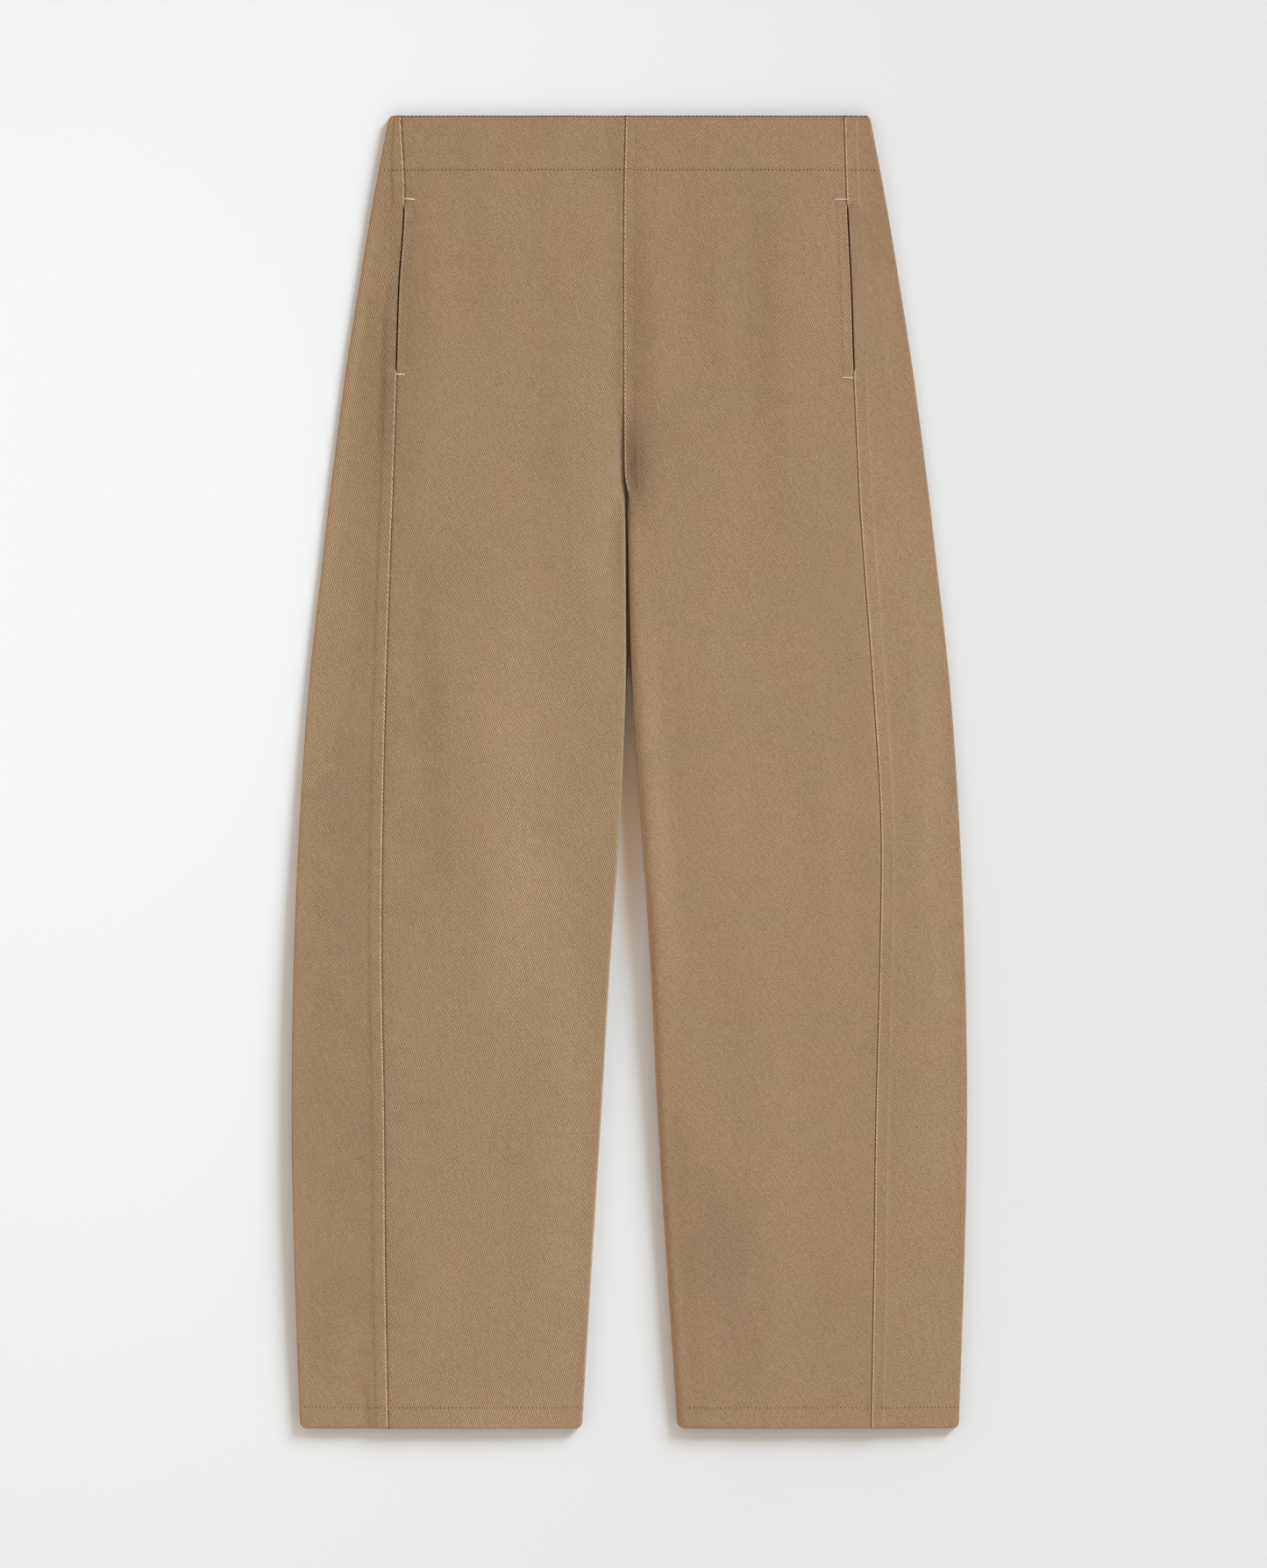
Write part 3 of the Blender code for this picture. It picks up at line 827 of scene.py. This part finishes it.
def pocket_bag(name, side):
    """A folded bag as a closed shell."""
    end = (1.0 - np.cos(np.pi * np.linspace(0.0, BAG_END, BAG_ROWS))) / 2
    down = (POCKET_TOP + (POCKET_BOTTOM - POCKET_TOP) * end)[:, None]
    mouth = seam_x(side, down) - side * (SEAM_GAP / 2 + slit(down))
    far = mouth - side * pocket_reach(down)
    bag = 2 * POCKET_PLY + SEAM_GAP
    hang = CLOTH + SEAM_GAP
    share = np.linspace(0.0, 1.0, BAG_COLUMNS)
    turn = -np.pi / 2 + np.pi * np.linspace(0.0, 1.0, BAG_TURNS)[1:-1]
    grids = []
    for inset in (0.0, POCKET_PLY):
        x_low = mouth + side * POCKET_UNDER + (far - mouth - side * POCKET_UNDER) * share
        x_high = far + (mouth - side * BAG_BACK - far) * share
        z_low = top_height(side, x_low, down) - hang - bag + inset
        z_high = top_height(side, x_high, down) - hang - inset
        middle = top_height(side, far, down) - hang - bag / 2
        x_turn = far - side * (bag / 2 - inset) * np.cos(turn)
        z_turn = middle + (bag / 2 - inset) * np.sin(turn)
        x, z = joined(x_low, x_turn, x_high), joined(z_low, z_turn, z_high)
        grids.append(np.stack([x, np.broadcast_to(LENGTH / 2 - down, x.shape), z], -1))
    return smooth_piece(name + "_bag", closed_mesh(name, *grids))


BAGS = {"pocket_" + word: pocket_bag("pocket_" + word, side) for side, word in WORDS.items()}
print("pocket bags:", sorted(BAGS))

# %% [markdown]
# One stitch.
#
# A machine stitch is a short length of thread that goes down into the cloth at both ends. It starts as
# a sphere with few sides, which is stretched and flattened in edit mode. All the stitches of a panel
# are then copies of it, joined into one mesh.

# %% One stitch of thread
STITCH_PITCH = 0.0029
STITCH_LENGTH = 0.0021
THREAD = 0.00042
THREAD_FLAT = 0.8  # height of the thread, as a share of its width

centre = (0.0, 0.0, 0.0)
bpy.ops.object.select_all(action="DESELECT")
bpy.ops.mesh.primitive_uv_sphere_add(segments=8, ring_count=6, radius=0.5)
stitch = bpy.context.active_object
stitch.name = "stitch_model"
bpy.ops.object.mode_set(mode="EDIT")
bpy.ops.mesh.select_all(action="SELECT")
bpy.ops.transform.rotate(value=np.pi / 2, orient_axis="Y", center_override=centre)
bpy.ops.transform.resize(value=(STITCH_LENGTH, THREAD, THREAD * THREAD_FLAT), center_override=centre)
bpy.ops.object.mode_set(mode="OBJECT")
STITCH_POINTS = np.array([v.co for v in stitch.data.vertices])
STITCH_FACES = [list(p.vertices) for p in stitch.data.polygons]
bpy.data.objects.remove(stitch)
long = round(1000 * np.ptp(STITCH_POINTS[:, 0]), 2)
print("one stitch has", len(STITCH_FACES), "faces and is", long, "mm long")

# %% [markdown]
# Lines of stitches.
#
# A line runs across the waist 42 mm below its edge, and across each hem 16 mm above it. Stitches that
# are sunk in the cloth show only as a row of needle pricks, at the very edge of the waist and beside
# the pocket mouths. Short bars of close stitches lock both ends of each mouth. The places come first:
# where each stitch lies, how it points, its length and its kind.

# %% Places of the stitches
SINK = 0.00010
HOLE = 0.60  # length of a needle hole, as a share of a stitch
HOLE_WIDTH = 2.0  # width of a needle hole, as a share of the thread
HOLE_SINK = 0.00002
EDGE_LINE, EDGE_SINK = 0.0004, 0.00003  # how far below the waist edge the turning is pricked down
MOUTH_PRICK, MOUTH_SINK, MOUTH_PAST = 0.4, 0.00012, 0.003  # they run on past the ends of the mouth
BAR_STITCHES, BAR_STITCH, BAR_LIFT = 17, 0.62, 0.00020
UNDER_LEVEL = 0.0001  # height of the stitches on the underside
ACROSS, DOWNWARDS, BAR_WAY = (1.0, 0.05, 0.0), (0.05, 1.0, 0.0), (0.22, 1.0, 0.0)
SEWN, PRICKED, BARRED = 0, 1, 2  # thread, needle holes painted dark as shade, and the paler thread of the bars


def cloth_height(side, x, down):
    """The upper cloth with the strip's lift beyond the side seam."""
    beyond = side * (x - seam_x(side, down)) > 0
    return float(top_height(side, x, down) + np.where(beyond, allowance_rise(side, x, down), 0.0))


def on_cloth(side, x, down, lift, way, length, kind):
    """The place of one stitch on the upper cloth, or of one needle hole in it."""
    return (x, LENGTH / 2 - down, cloth_height(side, x, down) + lift), way, length, kind


def middles(start, end):
    """The middle of each stitch on a line."""
    count = int(abs(end - start) / STITCH_PITCH)
    return start + (end - start) * (np.arange(count) + 0.5) / count


def stitch_run(side, start, end, down):
    """Stitches and needle holes on a line across the upper cloth of a panel."""
    places = []
    for x in middles(start, end):
        z_a, z_b = (cloth_height(side, x + s * STITCH_LENGTH / 2, down) for s in (-1, 1))
        lean = (*ACROSS[:2], (z_b - z_a) / STITCH_LENGTH)
        places.append(((x, LENGTH / 2 - down, (z_a + z_b) / 2 - SINK), lean, 1.0, SEWN))
        places.append(on_cloth(side, x + STITCH_PITCH / 2, down, -HOLE_SINK, lean, HOLE, PRICKED))
    return places


def under_run(start, end, down):
    """Stitches on a line across the underside."""
    return [((x, LENGTH / 2 - down, UNDER_LEVEL), ACROSS, 1.0, SEWN) for x in middles(start, end)]


def edge_run(side, start, end):
    """The sunk stitches along the very edge of the waist, as needle pricks."""
    places = []
    for x in np.linspace(start, end, int(abs(end - start) / STITCH_PITCH)):
        (x, y, z), *rest = on_cloth(side, x, EDGE_LINE, -EDGE_SINK, ACROSS, HOLE, PRICKED)
        places.append(((x, y - CREVICE, z), *rest))
    return places


def mouth_run(side):
    """The sunk stitches that hold the turning behind a pocket mouth, as needle pricks along it."""
    places = []
    for down in np.arange(SLIT_TOP - MOUTH_PAST, SLIT_BOTTOM + MOUTH_PAST, STITCH_PITCH):
        x = float(seam_x(side, down)) - side * FACING
        places.append(on_cloth(side, x, down, -MOUTH_SINK, DOWNWARDS, MOUTH_PRICK, PRICKED))
    return places


def bar_tack(side, start, end, down, slant):
    """A bar of close stitches, each across the bar."""
    places = []
    for share in np.arange(BAR_STITCHES) / (BAR_STITCHES - 1):
        x, at = start + (end - start) * share, down + slant * (share - 0.5)
        places.append(on_cloth(side, x, at, BAR_LIFT, BAR_WAY, BAR_STITCH, BARRED))
    return places


print("stitches along the left pocket mouth:", len(mouth_run(LEFT)))

# %% [markdown]
# Each panel gets its own mesh of stitches.
#
# They lie on the panel's surface and sink a little into it. The back's stitches run along its strip on
# the front and across its underside.

# %% Stitches of each panel
MARGIN = 0.0006
TACKS = {
    # start, end, down, slant
    LEFT: ((-0.1710, -0.1636, 0.0640, 0.0008), (-0.1772, -0.1714, 0.1975, 0.0002)),
    RIGHT: ((0.1570, 0.1662, 0.0643, -0.0002), (0.1622, 0.1702, 0.2002, 0.0002)),
}


def stitch_mesh(name, places):
    """All the stitches of a panel as one mesh."""
    points, faces, kinds = [], [], []
    for k, (middle, direction, length, kind) in enumerate(places):
        along = Vector(direction).normalized()
        side_way = Vector((0.0, 0.0, 1.0)).cross(along).normalized()
        turn = np.array((along, side_way, along.cross(side_way)))
        shaped = STITCH_POINTS * np.array((length, HOLE_WIDTH if kind == PRICKED else 1.0, 1.0))
        points.append(shaped @ turn + np.array(middle))
        faces.extend([[i + k * len(STITCH_POINTS) for i in face] for face in STITCH_FACES])
        kinds.extend([kind] * len(STITCH_FACES))
    mesh = bpy.data.meshes.new(name)
    mesh.from_pydata(np.concatenate(points).tolist(), [], faces)
    mesh.polygons.foreach_set("material_index", kinds)
    mesh.shade_smooth()
    print(name, "has", len(places), "stitches")
    return placed(name, mesh)


def edges_at(side, down):
    """The side seam, the inner edge and the start of the outer fold at one level."""
    seam, inner, outer = (float(f(side, down)) for f in (seam_x, inner_x, outer_x))
    return seam, inner, outer - side * EDGE_ROLL


STITCHES = {}
for side, word in WORDS.items():
    front, back = [], []
    for line in (WAIST_STITCH, HEM_STITCH):
        seam, inner, fold = edges_at(side, line)
        start = inner + side * (MARGIN if line == WAIST_STITCH else UPPER_ROLL[side] / 2)
        front += stitch_run(side, start, seam - side * MARGIN, line)
        back += stitch_run(side, seam + side * 2 * MARGIN, fold, line)
        back += under_run(start, fold, line)
    front += mouth_run(side)
    seam, inner, fold = edges_at(side, EDGE_LINE)
    front += edge_run(side, inner + side * MARGIN, seam - side * MARGIN)
    back += edge_run(side, seam + side * MARGIN, fold)
    for tack in TACKS[side]:
        front += bar_tack(side, *tack)
    STITCHES["front_" + word] = stitch_mesh("front_" + word + "_stitches", front)
    STITCHES["back_" + word] = stitch_mesh("back_" + word + "_stitches", back)

# %% [markdown]
# Short ways to add nodes.
#
# The materials are built from a few kinds of node, used again and again. One helper for each kind keeps
# the cells below short enough to read as a recipe.

# %% Helpers for nodes


def add_node(tree, kind, **settings):
    node = tree.nodes.new(kind)
    for key, value in settings.items():
        setattr(node, key, value)
    return node


def fill(tree, socket, value):
    """Gives a socket a fixed value, or links it to another socket."""
    if isinstance(value, (int, float, tuple)):
        socket.default_value = value
    else:
        tree.links.new(value, socket)


def math_node(tree, operation, first, second=0.0):
    """A sum, product or wave of numbers or sockets."""
    node = add_node(tree, "ShaderNodeMath", operation=operation)
    fill(tree, node.inputs[0], first)
    fill(tree, node.inputs[1], second)
    return node.outputs[0]


def times(tree, first, second):
    return math_node(tree, "MULTIPLY", first, second)


def plus(tree, first, second):
    return math_node(tree, "ADD", first, second)


def split(tree, place):
    """The x, y and z of a vector."""
    node = add_node(tree, "ShaderNodeSeparateXYZ")
    tree.links.new(place, node.inputs[0])
    return node.outputs


def wave(tree, turns):
    """0 to 1 and back again, once for each turn."""
    return plus(tree, times(tree, math_node(tree, "SINE", times(tree, turns, 2 * np.pi)), 0.5), 0.5)


def noise(tree, place, scale, detail=2.0):
    node = add_node(tree, "ShaderNodeTexNoise")
    node.inputs["Scale"].default_value = scale
    node.inputs["Detail"].default_value = detail
    tree.links.new(place, node.inputs["Vector"])
    return node.outputs["Fac"]


def stretched_noise(tree, across, along, per_across, per_along, detail=2.0):
    """Noise that is long in the direction of the ridges."""
    place = add_node(tree, "ShaderNodeCombineXYZ")
    tree.links.new(times(tree, across, per_across), place.inputs[0])
    tree.links.new(times(tree, along, per_along), place.inputs[1])
    return noise(tree, place.outputs[0], 1.0, detail)


def span(tree, value, low, high, out_low=0.0, out_high=1.0):
    """From one span of values to another."""
    node = add_node(tree, "ShaderNodeMapRange")
    given = {"Value": value, "From Min": low, "From Max": high, "To Min": out_low, "To Max": out_high}
    for name, number in given.items():
        fill(tree, node.inputs[name], number)
    return node.outputs["Result"]


def mixed(tree, blend, share, first, second):
    """Two colours, mixed or multiplied."""
    node = add_node(tree, "ShaderNodeMix", data_type="RGBA", blend_type=blend)
    for number, value in ((0, share), (6, first), (7, second)):
        fill(tree, node.inputs[number], value)
    return node.outputs[2]


def shaded(tree, colour, value):
    """A colour times a number."""
    node = add_node(tree, "ShaderNodeCombineColor")
    for socket in node.inputs[:3]:
        tree.links.new(value, socket)
    return mixed(tree, "MULTIPLY", 1.0, colour, node.outputs[0])


def rough_material(name):
    """A new material without shine, its nodes, and its shader's inputs."""
    material = bpy.data.materials.new(name)
    material.use_nodes = True
    shader = material.node_tree.nodes["Principled BSDF"].inputs
    shader["Roughness"].default_value = 0.9
    return material, material.node_tree, shader


def bumped(tree, shader, height, strength, distance):
    """Lets a height shade the surface."""
    bump = add_node(tree, "ShaderNodeBump")
    bump.inputs["Strength"].default_value = strength
    bump.inputs["Distance"].default_value = distance
    tree.links.new(height, bump.inputs["Height"])
    tree.links.new(bump.outputs["Normal"], shader["Normal"])


print("node helpers are ready")

# %% [markdown]
# The twill weave, as a node group.
#
# The weave is too fine to model: its ridges are 1.4 mm apart. The group reads the place on the cloth
# and gives back three fields. Ridge is the light and dark of the diagonal lines. Yarn is the broken
# look of single yarns along them, and Streak is the slow change from thicker and thinner yarns. The
# material mixes its colours and its bump from these.

# %% Twill weave group
RIDGE_PITCH = 0.00140
YARN_PITCH = 0.0011
WANDER, WANDER_SCALE = 1.3, (140.0, 60.0)  # how far the ridges wander, in pitches
YARN_LEAN = 0.5
THICK_SCALE, THICK_SHARE = (620.0, 95.0), 0.3  # thick and thin yarns
SPECK_SCALE, SPECK_SHARE = (900.0, 620.0), 0.7  # specks on single yarns


def twill_group():
    group = bpy.data.node_groups.new("twill_weave", "ShaderNodeTree")
    group.interface.new_socket("Place", in_out="INPUT", socket_type="NodeSocketVector")
    group.interface.new_socket("Pitch", in_out="INPUT", socket_type="NodeSocketFloat")
    for name in ("Ridge", "Yarn", "Streak"):
        group.interface.new_socket(name, in_out="OUTPUT", socket_type="NodeSocketFloat")
    given = add_node(group, "NodeGroupInput")
    across, along, _ = split(group, given.outputs["Place"])
    wander = times(group, stretched_noise(group, across, along, *WANDER_SCALE), WANDER)
    phase = plus(group, math_node(group, "DIVIDE", across, given.outputs["Pitch"]), wander)
    step = plus(group, math_node(group, "DIVIDE", along, YARN_PITCH), times(group, phase, YARN_LEAN))
    thick = stretched_noise(group, across, along, *THICK_SCALE)
    speck = stretched_noise(group, across, along, *SPECK_SCALE, detail=1.0)
    out = add_node(group, "NodeGroupOutput")
    group.links.new(wave(group, phase), out.inputs["Ridge"])
    group.links.new(wave(group, step), out.inputs["Yarn"])
    streak = plus(group, times(group, thick, THICK_SHARE), times(group, speck, SPECK_SHARE))
    group.links.new(streak, out.inputs["Streak"])
    return group


TWILL_WEAVE = twill_group()
print("weave group puts out", [s.name for s in TWILL_WEAVE.interface.items_tree if s.in_out == "OUTPUT"])

# %% [markdown]
# The cloth's colour and surface.
#
# The ridges are drawn in a lighter tan than the grooves between them. The streaks and a slow mottle keep the
# legs from being one flat colour, and the attribute brings the painted light, the painted shade and the
# wear. The left leg is a touch greener and the right leg a touch pinker, as two lengths of the same cloth
# often are. Washed cotton has next to no shine.

# %% Twill material
RIDGE_COLOUR = (0.548, 0.366, 0.222, 1.0)
GROOVE_COLOUR = (0.196, 0.121, 0.066, 1.0)
LEFT_TINT = (1.000, 1.008, 0.995, 1.0)
RIGHT_TINT = (1.008, 0.990, 0.990, 1.0)
GREEN_SHADE = (0.980, 1.006, 0.982, 1.0)
PINK_SHADE = (1.018, 0.994, 1.000, 1.0)
TOP_SHADE = (0.960, 0.930, 0.915, 1.0)
TOP_SPAN = (0.12, 0.42)  # y where the upper part of the trousers begins to get darker, and is darkest
TINT_CHANGE = 0.004  # how far each side of the middle the two tints run into each other
SPECULAR = 0.02
YARN_GAP = 0.74  # brightness between two yarns of a ridge
NOISE_SPAN = (0.3, 0.7)  # the part of a noise that is spread to the two values below
STREAKS = (0.77, 1.23)
DARKEST = 0.38  # brightness where the painted shade is deepest, at -1
LIT_AND_WORN_RIDGES = (-0.15, 1.60)  # what a painted highlight and wear of 1 adds to the grooves and to the ridges
MOTTLE, MOTTLE_SCALE = (0.965, 1.035), 9.0
DYE_SCALE, DYE_SPAN = 17.0, (0.35, 0.65)
TWILL_BUMP = (0.22, 0.00014)  # strength and distance
STREAK_RELIEF = 0.5


def twill_material():
    material, tree, shader = rough_material("tan_twill")
    shader["Specular IOR Level"].default_value = SPECULAR
    place = add_node(tree, "ShaderNodeAttribute", attribute_name="cloth_place").outputs["Vector"]
    weave = add_node(tree, "ShaderNodeGroup", node_tree=TWILL_WEAVE)
    weave.inputs["Pitch"].default_value = RIDGE_PITCH
    tree.links.new(place, weave.inputs["Place"])
    streak = weave.outputs["Streak"]
    ridge = times(tree, weave.outputs["Ridge"], span(tree, weave.outputs["Yarn"], 0.0, 1.0, YARN_GAP, 1.0))
    colour = mixed(tree, "MIX", ridge, GROOVE_COLOUR, RIDGE_COLOUR)
    colour = shaded(tree, colour, span(tree, streak, *NOISE_SPAN, *STREAKS))
    # the attribute's painted shade darkens the cloth, and its painted light and wear lighten the ridges
    painted_light_and_wear = split(tree, place)[2]
    darker = span(tree, painted_light_and_wear, -1.0, 0.0, DARKEST, 1.0)
    lighter = times(tree, span(tree, painted_light_and_wear, 0.0, 1.0), span(tree, ridge, 0.0, 1.0, *LIT_AND_WORN_RIDGES))
    colour = shaded(tree, colour, plus(tree, darker, lighter))
    where = add_node(tree, "ShaderNodeTexCoord").outputs["Object"]
    mottle = noise(tree, where, MOTTLE_SCALE, detail=4.0)
    colour = shaded(tree, colour, span(tree, mottle, *NOISE_SPAN, *MOTTLE))
    x, y, _ = split(tree, where)
    tint = mixed(tree, "MIX", span(tree, x, -TINT_CHANGE, TINT_CHANGE), LEFT_TINT, RIGHT_TINT)
    dye = span(tree, noise(tree, where, DYE_SCALE), *DYE_SPAN)
    shade = mixed(tree, "MIX", dye, GREEN_SHADE, PINK_SHADE)
    shade = mixed(tree, "MULTIPLY", span(tree, y, *TOP_SPAN), shade, TOP_SHADE)
    colour = mixed(tree, "MULTIPLY", 1.0, mixed(tree, "MULTIPLY", 1.0, colour, tint), shade)
    tree.links.new(colour, shader["Base Color"])
    bumped(tree, shader, plus(tree, ridge, times(tree, streak, STREAK_RELIEF)), *TWILL_BUMP)
    return material


TWILL = twill_material()
for piece in PANELS.values():
    piece.data.materials.append(TWILL)
print("the twill has", len(TWILL.node_tree.nodes), "nodes")

# %% [markdown]
# Thread, needle holes and pocketing.
#
# Each of them is two close tones that fine noise mixes, so that no piece is quite flat. The thread is as tan
# as the cloth and the bars are paler. The needle holes are painted near black, as painted shade in each
# prick, and the pocketing is painted near black too, as painted shade inside the pocket mouths.

# %% Thread and pocketing materials
THREAD_GRAIN, POCKET_GRAIN = 900.0, 1500.0
GRAIN_BUMP = (0.3, 0.0001)  # strength and distance


def grained_material(name, colour, second, scale):
    """Two close tones, mixed by fine noise."""
    material, tree, shader = rough_material(name)
    shader["Specular IOR Level"].default_value = SPECULAR
    grain = noise(tree, add_node(tree, "ShaderNodeTexCoord").outputs["Object"], scale)
    tree.links.new(mixed(tree, "MIX", grain, colour, second), shader["Base Color"])
    bumped(tree, shader, grain, *GRAIN_BUMP)
    return material


THREADS = [grained_material(name, colour, second, THREAD_GRAIN) for name, colour, second in (
    ("tan_thread", (0.43, 0.29, 0.175, 1.0), (0.53, 0.365, 0.225, 1.0)),
    # needle holes painted near black, as the shade in each prick
    ("needle_hole", (0.050, 0.026, 0.012, 1.0), (0.07, 0.038, 0.018, 1.0)),
    ("pale_thread", (0.74, 0.58, 0.42, 1.0), (0.82, 0.67, 0.50, 1.0)),
)]
# the pocketing is painted near black, as the shade inside a pocket mouth
POCKET_SHADE_TONES = (0.032, 0.014, 0.007, 1.0), (0.045, 0.022, 0.012, 1.0)
SHADED_POCKETING = grained_material("pocketing", *POCKET_SHADE_TONES, POCKET_GRAIN)

for piece in STITCHES.values():
    for material in THREADS:
        piece.data.materials.append(material)
for piece in BAGS.values():
    piece.data.materials.append(SHADED_POCKETING)
print("thread materials:", [material.name for material in THREADS])

# %% [markdown]
# The shells take the place of the packed walls.
#
# Every shell replaces its packed wall and rides on the root body. The area of each cut is measured on the
# mesh, as half of the closed shell's surface, and shown beside the size of the panel's cut.

# %% Replacing the packed walls
FLAT_SIZES = {"front_left": (0.187, 1.000), "front_right": (0.195, 1.000),
              "back_left": (0.312, 1.000), "back_right": (0.314, 1.000)}


def half_area(piece):
    """Half of a closed shell's surface."""
    return sum(p.area for p in piece.data.polygons) / 2


for name, piece in PANELS.items():
    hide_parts(name)
    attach(piece, "root")
    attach(STITCHES[name], "root")
    width, length = FLAT_SIZES[name]
    area = min(half_area(piece), width * length)
    print(name, "cut area in square metres:", round(half_area(piece), 4), "of", round(width * length, 4))
for name, piece in BAGS.items():
    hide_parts(name)
    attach(piece, "root")
    area = half_area(piece)
    width, length = 2 * POCKET_WIDTH, POCKET_BOTTOM - POCKET_TOP
    print(name, "cut area in square metres:", round(area, 4))

# %% [markdown]
# The surface.
#
# It is pale and plain, with a painted pool of light that makes it a little brighter to the left. Between the
# thighs it is painted tan and darker, as painted reflection and shade from the cloth that stands on both
# sides. Both are soft oval spots in its colour.

# %% Pale surface
FLOOR_SIZE, FLOOR_LEVEL = 12.0, -0.0002
FLOOR_PLAIN = (0.775, 0.765, 0.755, 1.0)
FLOOR_BRIGHT = (0.90, 0.90, 0.90, 1.0)
PAINTED_LIGHT_POOL = ((-0.44, 0.18, 0.0), (0.75, 1.0, 1.0), 0.8)  # a painted pool of light: place, size, and where it is at its fullest
# painted tan reflection and shade on the surface between the thighs
GAP_BOUNCE_TINT = (1.0, 0.80, 0.58, 1.0)
GAP_BOUNCE_SPOT = ((0.001, -0.010, 0.0), (0.014, 0.150, 1.0), 0.6)

bpy.ops.object.select_all(action="DESELECT")
bpy.ops.mesh.primitive_plane_add(size=FLOOR_SIZE, location=(0.0, 0.0, FLOOR_LEVEL))
floor = bpy.context.active_object
floor.name = "pale_surface"
paint, tree, shader = rough_material("pale_surface")
where = add_node(tree, "ShaderNodeTexCoord").outputs["Object"]


def soft_spot(place, size, full):
    """1 in the middle of an oval spot, to 0 outside it."""
    moved = add_node(tree, "ShaderNodeMapping", vector_type="TEXTURE")
    moved.inputs["Location"].default_value = place
    moved.inputs["Scale"].default_value = size
    tree.links.new(where, moved.inputs["Vector"])
    ball = add_node(tree, "ShaderNodeTexGradient", gradient_type="SPHERICAL")
    tree.links.new(moved.outputs["Vector"], ball.inputs["Vector"])
    return span(tree, ball.outputs["Fac"], 0.0, full)


colour = mixed(tree, "MIX", soft_spot(*PAINTED_LIGHT_POOL), FLOOR_PLAIN, FLOOR_BRIGHT)
colour = mixed(tree, "MULTIPLY", soft_spot(*GAP_BOUNCE_SPOT), colour, GAP_BOUNCE_TINT)
tree.links.new(colour, shader["Base Color"])
floor.data.materials.append(paint)
print("surface is", FLOOR_SIZE, "m wide")

# %% [markdown]
# The light and the studio.
#
# One large soft light stands beyond the waist and to the right, so each edge throws a soft shadow to the
# left and below. The studio round it fills the shadows. It is bright at the sides and dark overhead,
# where the camera hangs, so the narrow gap between the legs stays dark. It is a little brighter towards
# the hems, as one more lamp there would make it.

# %% Light and studio
LIGHT_WAY = (0.66, 0.75)  # where the light stands, across and along
LIGHT_ELEVATION, LIGHT_SOFTNESS = np.radians(20.0), np.radians(20.0)
LIGHT_STRENGTH = 3.50
LIGHT_DISTANCE = 3.0
LIGHT_COLOUR = (0.83, 1.0, 1.16)
STUDIO_COLOUR = (1.07, 0.99, 0.90, 1.0)
SIDES_TO_TOP = (0.45, 0.85, 1.37, 0.12)  # from and to these heights, these two brightnesses
HEM_TO_WAIST = (-1.0, 1.0, 1.10, 0.91)

lamp = bpy.data.lights.new("key", "SUN")
lamp.color = LIGHT_COLOUR
lamp.angle = LIGHT_SOFTNESS
lamp.energy = LIGHT_STRENGTH
flat = Vector((*LIGHT_WAY, 0.0)).normalized() * np.cos(LIGHT_ELEVATION)
towards = Vector((flat.x, flat.y, np.sin(LIGHT_ELEVATION)))
holder = placed("key", lamp)
holder.location = towards * LIGHT_DISTANCE
holder.rotation_mode = "QUATERNION"
holder.rotation_quaternion = (-towards).to_track_quat("-Z", "Y")

world = bpy.data.worlds.new("studio")
world.use_nodes = True
tree = world.node_tree
background = tree.nodes["Background"].inputs
background["Color"].default_value = STUDIO_COLOUR
_, y, z = split(tree, add_node(tree, "ShaderNodeTexCoord").outputs["Object"])
brightness = times(tree, span(tree, z, *SIDES_TO_TOP), span(tree, y, *HEM_TO_WAIST))
tree.links.new(brightness, background["Strength"])
bpy.context.scene.world = world
bpy.context.scene.view_settings.view_transform = "Standard"
print("the light stands towards", [round(v, 2) for v in towards])

# %% [markdown]
# The camera.
#
# It looks straight down through a long lens, a little below the middle of the trousers. Its height and
# place come from where the waist and the hems lie in the picture, so the trousers fill it in the same way.

# %% Camera
PHOTO_WIDTH, PHOTO_HEIGHT = 1445, 1788
WAIST_PIXEL, HEM_PIXEL = 131.2, 1628.9
MIDDLE_PIXEL_X = 718
METRES_PER_PIXEL = LENGTH / (HEM_PIXEL - WAIST_PIXEL)
LENS = 85.0
SENSOR = 36.0

view_height = PHOTO_HEIGHT * METRES_PER_PIXEL
camera_x = (PHOTO_WIDTH / 2 - MIDDLE_PIXEL_X) * METRES_PER_PIXEL
camera_y = ((WAIST_PIXEL + HEM_PIXEL) / 2 - PHOTO_HEIGHT / 2) * METRES_PER_PIXEL
lens = bpy.data.cameras.new("camera")
lens.lens = LENS
lens.sensor_width = SENSOR
camera = placed("camera", lens)
camera.location = (camera_x, camera_y, view_height * LENS / SENSOR + float(height("middle", 0.0)))
bpy.context.scene.camera = camera
print("camera is", round(camera.location.z, 2), "m above the surface")
